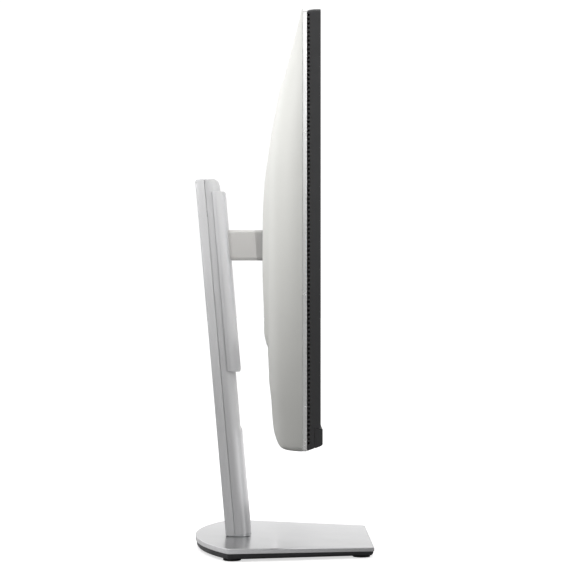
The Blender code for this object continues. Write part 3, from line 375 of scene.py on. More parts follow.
def tidy(ob, merge=0.0):
    bm = bmesh.new()
    bm.from_mesh(ob.data)
    if merge:
        bmesh.ops.remove_doubles(bm, verts=bm.verts, dist=merge * MM)
    bmesh.ops.recalc_face_normals(bm, faces=bm.faces)
    bm.to_mesh(ob.data)
    bm.free()
    ob.data.update()


def combine(ob, other, operation="DIFFERENCE"):
    """Cuts or joins another mesh, applied at once."""
    mod = ob.modifiers.new("cut", "BOOLEAN")
    mod.operation = operation
    mod.solver = "EXACT"
    mod.object = other
    bpy.context.view_layer.update()
    done = bpy.data.meshes.new_from_object(ob.evaluated_get(bpy.context.evaluated_depsgraph_get()))
    ob.modifiers.clear()
    old = ob.data
    ob.data = done
    bpy.data.meshes.remove(old)
    bpy.data.objects.remove(other)
    return ob


def join(name, objects):
    """Closed bodies that sit apart or just touch, kept in one mesh."""
    bm = bmesh.new()
    for ob in objects:
        bm.from_mesh(ob.data)
    mesh = bpy.data.meshes.new(name)
    bm.to_mesh(mesh)
    bm.free()
    for ob in objects:
        bpy.data.objects.remove(ob)
    new = bpy.data.objects.new(name, mesh)
    bpy.context.scene.collection.objects.link(new)
    return new


def show(ob, body, slot_name, *nodes, angle=38, flat=True, mat=None):
    """Shades, gives a finish, rides on a body and stands for its CAD nodes."""
    mesh = ob.data
    mesh.materials.clear()
    mesh.materials.append(mat or MATS[slot_name])
    for poly in mesh.polygons:
        poly.material_index = 0
    mesh.shade_smooth()
    mesh.set_sharp_from_angle(angle=math.radians(angle))
    if flat:
        weighted = ob.modifiers.new("flat_faces", "WEIGHTED_NORMAL")
        weighted.keep_sharp = True
        weighted.weight = 60
    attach(ob, body)
    if nodes:
        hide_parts(*nodes)
    return ob


def stack(name, loops, caps=True):
    """Closed solid through loops of equal count."""
    n = len(loops[0])
    verts = [p for loop in loops for p in loop]
    faces = [(k * n + i, k * n + (i + 1) % n, (k + 1) * n + (i + 1) % n, (k + 1) * n + i)
             for k in range(len(loops) - 1) for i in range(n)]
    if caps:
        faces.append(tuple(range(n)))
        faces.append(tuple(range((len(loops) - 1) * n, len(loops) * n)))
    return raw(name, verts, faces)


def along(axis, a, b, c):
    return {"x": (c, a, b), "y": (a, c, b), "z": (a, b, c)}[axis]


def rounded(points, radii, steps=4):
    """Convex outline with each corner replaced by an arc."""
    out = []
    n = len(points)
    for i, r in enumerate(radii):
        p = Vector(points[i])
        a = (Vector(points[i - 1]) - p).normalized()
        b = (Vector(points[(i + 1) % n]) - p).normalized()
        if r <= 0:
            out.append(tuple(p))
            continue
        half = math.acos(max(-1, min(1, a.dot(b)))) / 2
        centre = p + (a + b).normalized() * (r / math.sin(half))
        start = p + a * (r / math.tan(half)) - centre
        end = p + b * (r / math.tan(half)) - centre
        sweep = start.angle_signed(end)
        for k in range(steps + 1):
            t = -sweep * k / steps
            out.append((centre.x + start.x * math.cos(t) - start.y * math.sin(t),
                        centre.y + start.x * math.sin(t) + start.y * math.cos(t)))
    return out


def shrunk(points, d):
    """Counter-clockwise outline moved inwards by d at every edge."""
    out = []
    n = len(points)
    for i in range(n):
        p = Vector(points[i])
        e1 = (p - Vector(points[i - 1])).normalized()
        e2 = (Vector(points[(i + 1) % n]) - p).normalized()
        n1, n2 = Vector((-e1.y, e1.x)), Vector((-e2.y, e2.x))
        m = (n1 + n2) * (d / (1 + n1.dot(n2)))
        out.append((p.x + m.x, p.y + m.y))
    return out


def pulled(points, d):
    """Outline drawn in towards its own box by d, which never crosses itself."""
    xs = [p[0] for p in points]
    ys = [p[1] for p in points]
    x0, x1, y0, y1 = min(xs), max(xs), min(ys), max(ys)
    cx, cy = (x0 + x1) / 2, (y0 + y1) / 2
    fx = max(0.04, 1 - d / ((x1 - x0) / 2))
    fy = max(0.04, 1 - d / ((y1 - y0) / 2))
    return [(cx + (x - cx) * fx, cy + (y - cy) * fy) for x, y in points]


def ccw(points):
    area = sum(a[0] * b[1] - b[0] * a[1] for a, b in zip(points, points[1:] + points[:1]))
    return points if area > 0 else points[::-1]


def bead(r, steps=3):
    """(inset, drop) pairs of a quarter round edge, from the side to the face."""
    return [(r - r * math.cos(math.pi / 2 * k / steps), r - r * math.sin(math.pi / 2 * k / steps))
            for k in range(steps + 1)]


def slab(name, outline, axis, low, high, edge=0.4, edge_high=None, steps=3, inward=None):
    """Extruded outline whose end edges are rounded."""
    outline = ccw(outline)
    inward = inward or shrunk
    top = edge if edge_high is None else edge_high
    loops = [[along(axis, a, b, low + drop) for a, b in inward(outline, inset)]
             for inset, drop in reversed(bead(edge, steps))] if edge else [[along(axis, a, b, low) for a, b in outline]]
    loops += [[along(axis, a, b, high - drop) for a, b in inward(outline, inset)]
              for inset, drop in bead(top, steps)] if top else [[along(axis, a, b, high) for a, b in outline]]
    return stack(name, loops)


def brick(name, x0, x1, y0, y1, z0, z1, round_=0.4, steps=2):
    """Box with every edge rounded."""
    bm = bmesh.new()
    bmesh.ops.create_cube(bm, size=1.0)
    for v in bm.verts:
        v.co = Vector(((x0 + x1) / 2 + v.co.x * (x1 - x0), (y0 + y1) / 2 + v.co.y * (y1 - y0),
                       (z0 + z1) / 2 + v.co.z * (z1 - z0))) * MM
    if round_:
        bmesh.ops.bevel(bm, geom=list(bm.edges), offset=round_ * MM, segments=steps, profile=0.5, affect="EDGES",
                        clamp_overlap=True)
    mesh = bpy.data.meshes.new(name)
    bmesh.ops.recalc_face_normals(bm, faces=bm.faces)
    bm.to_mesh(mesh)
    bm.free()
    ob = bpy.data.objects.new(name, mesh)
    bpy.context.scene.collection.objects.link(ob)
    return ob


def cutter(name, x0, x1, y0, y1, z0, z1):
    return brick(name, x0, x1, y0, y1, z0, z1, 0)


def circle(ca, cb, r, n, turn=0.0):
    return [(ca + r * math.cos(turn + 2 * math.pi * i / n), cb + r * math.sin(turn + 2 * math.pi * i / n))
            for i in range(n)]


def turned(name, ca, cb, axis, profile, n=40):
    """Solid of (radius, position) pairs round an axis; an inner radius first and last makes a ring."""
    loops = [[along(axis, a, b, c) for a, b in circle(ca, cb, r, n)] for r, c in profile]
    return stack(name, loops)


def turned_ring(name, ca, cb, axis, profile, n=40):
    loops = [[along(axis, a, b, c) for a, b in circle(ca, cb, r, n)] for r, c in profile]
    verts = [p for loop in loops for p in loop]
    faces = []
    for k in range(len(loops)):
        a, b = k * n, ((k + 1) % len(loops)) * n
        faces += [(a + i, a + (i + 1) % n, b + (i + 1) % n, b + i) for i in range(n)]
    return raw(name, verts, faces)


def smooth(a, b, v):
    t = max(0.0, min(1.0, (v - a) / (b - a)))
    return t * t * (3 - 2 * t)


def hermite(points):
    """Monotone cubic through the points."""
    xs = [p[0] for p in points]
    ys = [p[1] for p in points]
    d = [(ys[i + 1] - ys[i]) / (xs[i + 1] - xs[i]) for i in range(len(xs) - 1)]
    m = [d[0]] + [0.0 if d[i - 1] * d[i] <= 0 else 2 * d[i - 1] * d[i] / (d[i - 1] + d[i])
                  for i in range(1, len(d))] + [d[-1]]

    def value(x):
        for i in range(len(d)):
            if x <= xs[i + 1]:
                break
        h = xs[i + 1] - xs[i]
        t = (x - xs[i]) / h
        return ((2 * t ** 3 - 3 * t ** 2 + 1) * ys[i] + (t ** 3 - 2 * t ** 2 + t) * h * m[i]
                + (-2 * t ** 3 + 3 * t ** 2) * ys[i + 1] + (t ** 3 - t ** 2) * h * m[i + 1])
    return value


# ------------------------------------------------------------------ head: the silver back
TILT_Z = JOINTS["screen_tilt"]["pos_m"][2] / MM
POCKET = 60.0
BAY_HALF, BAY_LOW, BAY_TOP = 118.0, 163.0, 197.0
WALL = 2.4
middle = hermite([(115, 21.6), (121, 22.6), (140, 23.9), (163, 26.3), (190, 27.4), (240, 27.7), (290, 27.6),
                  (340, 27.1), (375, 24.4), (400, 20.6), (429, 14.9), (442, 11.2), (456, 7.0), (465, 4.2), (471, 2.2),
                  (475, 0.9), (TOP, 0.0)])


def hump(x, z):
    height = 1.8 + 3.0 * smooth(400, 305, z) - 1.5 * smooth(270, 215, z)
    return height * smooth(190, 206, z) * smooth(445, 425, z) * smooth(152, 120, abs(x))


def back_y(x, z):
    d = HALF_W - abs(x)
    side = 0.80 * (1 - math.exp(-d / 10.0)) + 0.20 * (1 - (1 - d / HALF_W) ** 2.4)
    return RIM_BACK + middle(z) * side + hump(x, z)


def near_hole(u, v, half_x, low, high):
    """Distance outside a rectangle, square metric; 0 or less inside."""
    return max(abs(u) - half_x, low - v, v - high)


def swing(u, v, cx, cz, r, fade):
    """Squares round (cx, cz) become circles, in the quadrant that points outwards."""
    du, dv = u - cx, v - cz
    m = max(abs(du), abs(dv))
    length = math.hypot(du, dv)
    if m < 1e-9 or m > fade:
        return u, v
    keep = 1.0 if fade > 1e8 else 1.0 - smooth(r * 1.2, fade, m)
    k = 1 + (m / length - 1) * keep
    return cx + du * k, cz + dv * k


def plan(u, v):
    """Grid place to place in front view: outer corners and the corners of both openings are round."""
    r = 3.5
    if abs(u) > HALF_W - r and (v > TOP - r or v < BOTTOM + r):
        cx = math.copysign(HALF_W - r, u)
        cz = TOP - r if v > TOP - r else BOTTOM + r
        return swing(u, v, cx, cz, r, 1e9)
    for half_x, low, high, r in ((POCKET, TILT_Z - POCKET, TILT_Z + POCKET, 5.0), (BAY_HALF, BAY_LOW, BAY_TOP, 3.0)):
        if abs(u) > half_x - r and (v > high - r or v < low + r):
            cx = math.copysign(half_x - r, u)
            cz = high - r if v > high - r else low + r
            if abs(v - cz) <= r * 3.2 and abs(u - cx) <= r * 3.2:
                return swing(u, v, cx, cz, r, r * 3.2)
    return u, v


def sunk(e, r):
    """Drop of a rounded lip at distance e from the opening."""
    if e >= r:
        return 0.0
    return r - math.sqrt(max(0.0, r * r - (r - e) ** 2))


EDGE_STEPS = [0.0, 0.09, 0.32, 0.7, 1.2, 2.0, 3.4, 5.6, 9.0]


def spaced(a, b, n):
    return [a + (b - a) * k / n for k in range(n + 1)]


def lines(values):
    out = []
    for v in sorted(values):
        if not out or v - out[-1] > 0.05:
            out.append(v)
    return out


half = [0, 9, 18, 27, 36, 44, 50, 53, 55, 56.2, 57.4, 58.6] + [POCKET + e for e in EDGE_STEPS]
half += [74, 81, 88, 95, 102, 108, 112, 114, 115, 116, 117] + [BAY_HALF + e for e in EDGE_STEPS[:-1]]
half += [127.5, 131, 135, 140, 145, 150, 155, 161, 169, 178, 188, 198, 208, 218, 228, 238, 248, 256, 264, 271, 277, 282,
         286, 289.5, 292.5, 295, 297.2, 299, 300.5, 301.6, 302.4, 303.1, 303.7, 304.2, 304.6, 304.95, 305.2, 305.36,
         HALF_W]
half = lines(half)
XS = [-x for x in reversed(half[1:])] + half

# rows: (v, kind) where kind places the bottom face and its fillet
rows = [("rim", 0.0)] + [("floor", f) for f in (0.03, 0.12, 0.3, 0.5, 0.7, 0.88, 1.0)]
rows += [("fillet", math.radians(a)) for a in (12, 26, 40, 54, 66, 78)]
zs = [119.0, 121, 124, 128, 133, 139, 146, 152, 156] + [BAY_LOW - e for e in EDGE_STEPS[:6]]
zs += [164.2, 165.2, 166, 170, 176, 183, 189, 194, 195, 195.9] + [BAY_TOP + e for e in EDGE_STEPS[:7]]
zs += [201.5, 203, 204.5, 206, 208, 211, 214, 217.5, 221] + [TILT_Z - POCKET - e for e in EDGE_STEPS[:7]]
zs += [229.6, 230.4, 231.3, 232.3, 233.4, 234.4, 240, 250, 262, 275, 289, 303, 316, 328, 338, 343.6, 344.6, 345.7,
       346.7, 347.6, 348.4]
zs += [TILT_Z + POCKET + e for e in EDGE_STEPS] + [364, 370, 377, 384, 391, 398, 405, 411, 417, 421, 425, 428, 431, 434,
                                                   437, 440, 443, 446, 449, 452, 455, 458, 461, 464, 466.5, 468.5,
                                                   470.2, 471.6, 472.5, 473.2, 473.8, 474.3, 474.75, 475.1, 475.4,
                                                   475.65, 475.85, TOP]
rows += [("z", z) for z in lines(zs)]


def hole_of(u, v):
    if abs(u) < POCKET and TILT_Z - POCKET < v < TILT_Z + POCKET:
        return "pocket"
    if abs(u) < BAY_HALF and BAY_LOW < v < BAY_TOP:
        return "bay"
    return None


def back_point(u, row, inside):
    kind, q = row
    lip = 0.0
    if kind == "z":
        v = q
        y = back_y(u, v)
        e = min(max(near_hole(u, v, POCKET, TILT_Z - POCKET, TILT_Z + POCKET), 0.0),
                max(near_hole(u, v, BAY_HALF, BAY_LOW, BAY_TOP), 0.0))
        lip = sunk(e, 1.2)
    else:
        yb = back_y(u, 119.0)
        r = min(4.0, 0.85 * (yb - RIM_BACK))
        if kind == "rim":
            v, y = BOTTOM, RIM_BACK
        elif kind == "floor":
            v, y = BOTTOM, RIM_BACK + (yb - r - RIM_BACK) * q
        else:
            v, y = BOTTOM + 4.0 * (1 - math.cos(q)), yb - r + r * math.sin(q)
    rim = abs(u) == HALF_W or kind == "rim" or (kind == "z" and q == TOP)
    if rim and not inside:
        y = RIM_BACK
    x, z = plan(u, v)
    if inside:
        x = math.copysign(abs(x) - WALL * smooth(HALF_W - 12, HALF_W, abs(x)), x)
        z = z - WALL * smooth(TOP - 12, TOP, z) + WALL * smooth(BOTTOM + 12, BOTTOM, z)
        for hx, low, high in ((POCKET, TILT_Z - POCKET, TILT_Z + POCKET), (BAY_HALF, BAY_LOW, BAY_TOP)):
            e = near_hole(u, v, hx, low, high)
            if -1e-6 <= e < 4.0:
                push = 1.6 * (1 - smooth(0, 4.0, e))
                if abs(u) > hx - 1e-6:
                    x += math.copysign(push, x)
                if v > high - 1e-6:
                    z += push
                elif v < low + 1e-6:
                    z -= push
        y = RIM_FRONT if rim else max(RIM_FRONT + 0.2, y - WALL)
        return x, y, z
    return x, y - lip, z


def back_shell():
    nx, nz = len(XS), len(rows)
    verts, faces, grid = [], [], {}

    def v_of(j):
        return rows[j][1] if rows[j][0] == "z" else BOTTOM + 0.01 * j

    def empty(i, j):
        if not (0 <= i < nx - 1 and 0 <= j < nz - 1):
            return None
        return hole_of((XS[i] + XS[i + 1]) / 2, (v_of(j) + v_of(j + 1)) / 2)

    for inside in (False, True):
        for j, row in enumerate(rows):
            for i, u in enumerate(XS):
                if all(empty(i - a, j - b) for a in (0, 1) for b in (0, 1)):
                    continue
                grid[i, j, inside] = len(verts)
                verts.append(back_point(u, row, inside))
    for j in range(nz - 1):
        for i in range(nx - 1):
            if empty(i, j):
                continue
            for inside in (False, True):
                faces.append(tuple(grid[a, b, inside] for a, b in ((i, j), (i + 1, j), (i + 1, j + 1), (i, j + 1))))
    ring = ([(i, 0) for i in range(nx)] + [(nx - 1, j) for j in range(1, nz)]
            + [(i, nz - 1) for i in range(nx - 2, -1, -1)] + [(0, j) for j in range(nz - 2, 0, -1)])
    # rim wall with a fine rounded front edge
    previous = [grid[i, j, False] for i, j in ring]
    for y, inset in ((RIM_BACK - 0.04, 0.0), (RIM_BACK - 0.08, 0.03), (RIM_BACK - 0.11, 0.12), (RIM_BACK - 0.12, 1.3),
                     (RIM_FRONT + 0.20, 1.3), (RIM_FRONT + 0.05, 1.36), (RIM_FRONT, 1.5)):
        current = []
        for i, j in ring:
            x, _, z = verts[grid[i, j, False]]
            a = Vector((x, z))
            inner = Vector((math.copysign(min(abs(x), HALF_W - 3.5), x), max(BOTTOM + 3.5, min(TOP - 3.5, z))))
            out = (a - inner)
            out = out.normalized() if out.length > 1e-6 else Vector((0, 0))
            current.append(len(verts))
            verts.append((x - out.x * inset, y, z - out.y * inset))
        for k in range(len(ring)):
            m = (k + 1) % len(ring)
            faces.append((previous[k], previous[m], current[m], current[k]))
        previous = current
    inner = [grid[i, j, True] for i, j in ring]
    for k in range(len(ring)):
        m = (k + 1) % len(ring)
        faces.append((previous[k], previous[m], inner[m], inner[k]))
    # openings
    floor_y = corners("recess_plate")[1][1] + 0.3
    made = {}

    def wall_point(i, j, inside, y):
        key = (i, j, inside, y)
        if key not in made:
            x, _, z = verts[grid[i, j, inside]]
            made[key] = len(verts)
            verts.append((x, y, z))
        return made[key]

    for j in range(nz - 1):
        for i in range(nx - 1):
            kind = empty(i, j)
            if not kind:
                continue
            for (di, dj), (a, b) in {(-1, 0): ((i, j), (i, j + 1)), (1, 0): ((i + 1, j), (i + 1, j + 1)),
                                     (0, -1): ((i, j), (i + 1, j)), (0, 1): ((i, j + 1), (i + 1, j + 1))}.items():
                if empty(i + di, j + dj):
                    continue
                oa, ob = grid[(*a, False)], grid[(*b, False)]
                ia, ib = grid[(*a, True)], grid[(*b, True)]
                if kind == "bay":
                    faces.append((oa, ob, ib, ia))
                else:
                    na, nb = wall_point(*a, False, floor_y), wall_point(*b, False, floor_y)
                    fa, fb = wall_point(*a, True, floor_y), wall_point(*b, True, floor_y)
                    faces += [(oa, ob, nb, na), (na, nb, fb, fa), (fa, fb, ib, ia)]
    return raw("back_shell", verts, faces)


back = back_shell()
tidy(back, 0.002)

keys = {n: corners(n) for n in ("menu_key_1", "menu_key_2", "menu_key_3", "menu_key_4", "power_key")}
tools = []
for name, (low, high) in keys.items():
    outline = rounded([(high[0] + 0.35, low[2] - 0.35), (high[0] + 0.35, high[2] + 0.35),
                       (low[0] - 0.35, high[2] + 0.35), (low[0] - 0.35, low[2] - 0.35)], [1.5] * 4, 5)
    tools.append(slab("tool_" + name, outline, "y", -14, 20, 0))
latch_low, latch_high = corners("release_latch")
tools.append(slab("tool_latch", rounded([(8.5, 209.5), (8.5, 223), (-8.5, 223), (-8.5, 209.5)], [1.6] * 4, 5),
                  "y", 9.0, 40, 0))
tools.append(cutter("tool_slot", -8.5, 8.5, 11.9, 14.5, 225.0, 231.0))
for sx in (-1, 1):
    tools.append(cutter(f"tool_hook_{sx}", sx * 26 - 6.5, sx * 26 + 6.5, 6.0, 11.7, 347, 353))
combine(back, join("tools", tools))
show(back, "head", "silver_cover", "rear_cover", angle=50, flat=False)

# polished band round the edge of the silver back
rim_corners = ccw(rounded([(HALF_W, BOTTOM), (HALF_W, TOP), (-HALF_W, TOP), (-HALF_W, BOTTOM)], [3.5] * 4, 12))
rim_outline = []
for a, b in zip(rim_corners, rim_corners[1:] + rim_corners[:1]):
    parts = max(1, round(math.dist(a, b) / 9.0))
    rim_outline += [(a[0] + (b[0] - a[0]) * k / parts, a[1] + (b[1] - a[1]) * k / parts) for k in range(parts)]
band_loops = [[(x, y, z) for x, z in pulled(rim_outline, inset)]
              for inset, y in ((0.12, RIM_BACK - 0.20), (0.03, RIM_BACK - 0.23), (0.0, RIM_BACK - 0.30),
                               (0.0, RIM_FRONT + 0.22), (0.06, RIM_FRONT + 0.05), (0.22, RIM_FRONT),
                               (1.1, RIM_FRONT), (1.2, RIM_FRONT + 0.1), (1.2, RIM_BACK - 0.30),
                               (1.1, RIM_BACK - 0.20))]
n_rim = len(rim_outline)
band_faces = []
for k in range(len(band_loops)):
    a, b = k * n_rim, ((k + 1) % len(band_loops)) * n_rim
    band_faces += [(a + i, a + (i + 1) % n_rim, b + (i + 1) % n_rim, b + i) for i in range(n_rim)]
band = raw("rim_band", [p for loop in band_loops for p in loop], band_faces)
show(band, "head", "silver_cover", angle=35, mat=MATS["silver_rim"])


# ------------------------------------------------------------------ head: black frame with a row of vents
VENT_PITCH, VENT_LOW, VENT_COUNT = 3.49, 122.0, 101
FRONT = frame_low[1]
BACK_EDGE = frame_high[1]
OUT_X = frame_high[0]
LOW_Z, HIGH_Z = frame_low[2], frame_high[2]
CHIN_TOP = chin_high[2]


def frame_piece():
    """One closed section swept round the screen, with a through hole at every vent of both sides."""
    r = 3.2
    wall = 1.9
    # section: (inset, y at the upper part, y at the chin)
    section = [(0.5, BACK_EDGE, BACK_EDGE), (0.0, -17.95, -17.95), (0.0, -19.65, -19.65), (0.0, -23.4, -21.8),
               (0.0, -28.05, -23.2), (0.08, -28.4, -23.5), (0.3, FRONT + 0.07, -23.75), (0.62, FRONT, -23.9),
               (1.5, FRONT, -23.9), (1.78, FRONT + 0.08, -23.82), (wall, FRONT + 0.35, -23.6),
               (wall, -23.4, -21.8), (wall, -19.65, -19.65), (wall, -17.95, -17.95), (wall - 0.3, BACK_EDGE, BACK_EDGE)]
    n = len(section)
    split_low, split_high = CHIN_TOP + 0.15, CHIN_TOP + 0.4
    marks = {}
    for k in range(VENT_COUNT):
        z = VENT_LOW + k * VENT_PITCH
        marks[round(z - 0.95, 4)] = k
        marks[round(z + 0.95, 4)] = k
    side_z = sorted(list(marks) + [split_low, split_high])
    side_z = [z for z in side_z if LOW_Z + r + 2.2 < z < HIGH_Z - r]
    path = []      # (x, z, outward x, outward z, corner weight of the bottom, vent index or None)

    def corner(cx, cz, start, step):
        for k in range(9):
            t = math.radians(start + step * k / 8)
            w = max(0.0, -math.sin(t)) if cz < 200 else 0.0
            path.append((cx + r * math.cos(t), cz + r * math.sin(t), math.cos(t), math.sin(t), w))

    for z in side_z:
        path.append((OUT_X, z, 1, 0, 0.0))
    corner(OUT_X - r, HIGH_Z - r, 0, 90)
    for x in (200, 100, 0, -100, -200):
        path.append((x, HIGH_Z, 0, 1, 0.0))
    corner(-OUT_X + r, HIGH_Z - r, 90, 90)
    for z in reversed(side_z):
        path.append((-OUT_X, z, -1, 0, 0.0))
    corner(-OUT_X + r, LOW_Z + r, 180, 90)
    for x in (-200, -100, 0, 100, 200):
        path.append((x, LOW_Z, 0, -1, 1.0))
    corner(OUT_X - r, LOW_Z + r, 270, 90)

    verts, faces = [], []
    for x, z, ox, oz, w in path:
        lower = z < (split_low + split_high) / 2
        # diagonal inset so that the walls keep their thickness round the corners
        for inset, y_up, y_low in section:
            y = y_low if lower else y_up
            px, pz = x - ox * inset, z - oz * inset
            if oz > 0.01:
                pz -= 1.15 * oz * smooth(-21.2, -17.9, y)
            if z < 200 and oz < -0.001:
                pz += w * 0.385 * (BACK_EDGE - y)
            verts.append((px, y, pz))
    count = len(path)
    outer_edge, inner_edge = 1, 12

    def vent_between(a, b):
        if path[a][2] == 0 or abs(path[a][2]) != 1 or path[a][2] != path[b][2]:
            return False
        za, zb = sorted((round(path[a][1], 4), round(path[b][1], 4)))
        return za in marks and zb in marks and marks[za] == marks[zb] and zb - za < 2.5

    for s in range(count):
        t = (s + 1) % count
        gap = vent_between(s, t)
        for k in range(n):
            m = (k + 1) % n
            if gap and k in (outer_edge, inner_edge):
                continue
            faces.append((s * n + k, s * n + m, t * n + m, t * n + k))
        if gap:
            # outer edge runs 1 -> 2, inner edge 12 -> 13
            o1s, o2s, i1s, i2s = s * n + 1, s * n + 2, s * n + 13, s * n + 12
            o1t, o2t, i1t, i2t = t * n + 1, t * n + 2, t * n + 13, t * n + 12
            faces += [(o1s, o2s, i2s, i1s), (o1t, o2t, i2t, i1t), (o1s, o1t, i1t, i1s), (o2s, o2t, i2t, i2s)]
    return raw("black_frame", verts, faces)


show(frame_piece(), "head", "black_plastic", "front_frame", angle=40)

# chin: slim bar that stands proud under the screen, ends rounded
chin_outline = rounded([(-23.95, 117.7), (-28.7, 119.5), (chin_low[1], 120.9), (chin_low[1], 133.3),
                        (-29.7, CHIN_TOP), (-23.95, CHIN_TOP)], [0.06, 1.4, 0.8, 0.5, 0.5, 0.06], 4)
show(slab("chin_bar", chin_outline, "x", chin_low[0], chin_high[0], 0.12, steps=3, inward=pulled), "head", "black_plastic",
     "chin_bezel", angle=50)

# screen
show(brick("screen_glass", panel_low[0], panel_high[0], panel_low[1], panel_high[1], panel_low[2], panel_high[2],
           0.18, 2), "head", "lcd_glass", "lcd_panel")

# ------------------------------------------------------------------ head: keys on the back
for name, (low, high) in keys.items():
    cx, cz = (low[0] + high[0]) / 2, (low[2] + high[2]) / 2
    hx, hz = (high[0] - low[0]) / 2, (high[2] - low[2]) / 2
    loops = []
    for inset, y in ((0.25, low[1]), (0.0, low[1] + 0.3), (0.0, high[1] - 0.75), (0.06, high[1] - 0.45),
                     (0.22, high[1] - 0.2), (0.5, high[1] - 0.04), (0.9, high[1]), (1.5, high[1] - 0.12),
                     (2.1, high[1] - 0.2)):
        outline = rounded([(cx + hx - inset, cz - hz + inset), (cx + hx - inset, cz + hz - inset),
                           (cx - hx + inset, cz + hz - inset), (cx - hx + inset, cz - hz + inset)],
                          [max(0.25, 1.2 - inset * 0.45)] * 4, 6)
        loops.append([(x, y, z) for x, z in outline])
    cap = stack("cap_" + name, loops)
    show(cap, name, "key_plastic", name, angle=60)

# release latch: plate with a ribbed grip
plate = brick("latch_plate", latch_low[0], latch_high[0], 12.3, 14.0, latch_low[2], latch_high[2], 0.35, 3)
combine(plate, brick("grip", latch_low[0] + 0.15, latch_high[0] - 0.15, 12.9, latch_high[1], latch_low[2] + 0.15, 222.0, 0.9, 4),
        "UNION")
for k in range(4):
    z = 216.0 + k * 1.5
    combine(plate, slab(f"rib_cut_{k}", circle(latch_high[1] + 0.15, z, 0.45, 12), "x", -6.4, 6.4, 0, inward=pulled))
plate.name = "latch_slider"
show(plate, "release_latch", "key_plastic", "release_latch", angle=50)

# ------------------------------------------------------------------ head: bracket in the pocket
bracket_low, bracket_high = corners("tilt_bracket")
tilt_y = JOINTS["screen_tilt"]["pos_m"][1] / MM
bracket = slab("bracket_plate", rounded([(56, 239), (56, 345), (-56, 345), (-56, 239)], [4.0] * 4, 7), "y",
               bracket_low[1], 11.4, 0.4)
for sx in (-1, 1):
    lug = [(10.9, 279.6), (11.35, 279.9), (12.4, 280.6), (14.0, 281.0)]
    lug += [(tilt_y + 8 * math.cos(math.radians(a)), TILT_Z + 8 * math.sin(math.radians(a))) for a in range(-90, 91, 12)]
    lug += [(14.0, 296.0), (12.4, 296.4), (11.35, 297.1), (10.9, 297.4)]
    combine(bracket, slab(f"lug_{sx}", lug, "x", sx * 10 - 2, sx * 10 + 2, 0.3), "UNION")
    combine(bracket, brick(f"hook_{sx}", sx * 26 - 6, sx * 26 + 6, 9.1, 11.1, 338, 350.8, 0.4), "UNION")
combine(bracket, slab("bore", circle(tilt_y, TILT_Z, 4.3, 40), "x", -15, 15, 0))
# pressed stiffening beads beside the lugs
for sx in (-1, 1):
    combine(bracket, slab(f"bead_{sx}", rounded([(sx * 36 + 4, 250), (sx * 36 + 4, 334), (sx * 36 - 4, 334),
                                                 (sx * 36 - 4, 250)], [3.9] * 4, 6), "y", 10.9, 12.5, 0.0))
bracket.name = "mount_bracket"
show(bracket, "head", "galvanised", "tilt_bracket", angle=40)

# ------------------------------------------------------------------ head: connector bay and sockets
bay = slab("bay", [(12.0, 196.6), (-10.4, 196.6), (-10.4, 188.0), (9.6, 163.4), (12.0, 163.4)], "x", -117.5, 117.5, 0.2)
inner = rounded([(30, 194.6), (-8.4, 194.6), (-8.4, 188.6), (10.6, 165.4), (30, 165.4)], [0, 1.2, 1.0, 0, 0], 4)
combine(bay, slab("bay_cut", inner, "x", -115.5, 115.5, 0))
sockets = {n: corners(n) for n in ("hdmi_socket_1", "hdmi_socket_2", "displayport_socket", "usb_socket",
                                   "audio_socket", "ac_inlet")}
for name, (low, high) in sockets.items():
    combine(bay, cutter("bay_" + name, low[0] - 0.4, high[0] + 0.4, low[1] - 0.4, high[1] + 0.4, 190, 200))
bay.name = "port_bay"
show(bay, "head", "black_plastic", "connector_bay", angle=40)


def socket_piece(name, opening, depth, node):
    low, high = sockets[node]
    ob = brick(name, low[0], high[0], low[1], high[1], low[2], high[2], 0.3, 2)
    combine(ob, slab("mouth_" + name, opening, "z", 180, low[2] + depth, 0))
    return show(ob, "head", SLOT_OF[node], node, angle=40)


def trapezoid(cx, cy, w, d, cut):
    return [(cx - w / 2, cy - d / 2), (cx + w / 2, cy - d / 2), (cx + w / 2, cy + d / 2 - cut),
            (cx + w / 2 - cut, cy + d / 2), (cx - w / 2 + cut, cy + d / 2), (cx - w / 2, cy + d / 2 - cut)]


for n_, node in enumerate(("hdmi_socket_1", "hdmi_socket_2"), 1):
    low, high = sockets[node]
    cx, cy = (low[0] + high[0]) / 2, (low[1] + high[1]) / 2
    socket_piece(f"hdmi_shell_{n_}", trapezoid(cx, cy, 14.0, 4.6, 1.6), 12.0, node)
    tongue = brick(f"hdmi_tongue_{n_}", cx - 5.6, cx + 5.6, cy - 0.55, cy + 0.55, low[2] + 1.2, low[2] + 12.4, 0.2)
    show(tongue, "head", "black_plastic")
low, high = sockets["displayport_socket"]
cx, cy = (low[0] + high[0]) / 2, (low[1] + high[1]) / 2
socket_piece("displayport_shell", [(cx - 8, cy - 2.35), (cx + 8, cy - 2.35), (cx + 8, cy + 2.35), (cx - 6.2, cy + 2.35),
                                   (cx - 8, cy + 0.6)], 13.0, "displayport_socket")
show(brick("displayport_tongue", cx - 6.4, cx + 6.4, cy - 0.7, cy + 0.5, low[2] + 1.4, low[2] + 13.4, 0.2), "head",
     "black_plastic")
low, high = sockets["usb_socket"]
cx, cy = (low[0] + high[0]) / 2, (low[1] + high[1]) / 2
socket_piece("usb_shell", [(cx - 4.2, cy - 4.3), (cx + 4.2, cy - 4.3), (cx + 4.2, cy + 2.2), (cx + 2.6, cy + 4.3),
                           (cx - 2.6, cy + 4.3), (cx - 4.2, cy + 2.2)], 13.0, "usb_socket")
show(brick("usb_tongue", cx - 2.8, cx + 2.8, cy - 1.4, cy + 1.4, low[2] + 2.0, low[2] + 13.4, 0.25), "head",
     "black_plastic")
low, high = sockets["audio_socket"]
cx, cy = (low[0] + high[0]) / 2, (low[1] + high[1]) / 2
socket_piece("audio_shell", circle(cx, cy, 1.85, 28), 11.0, "audio_socket")
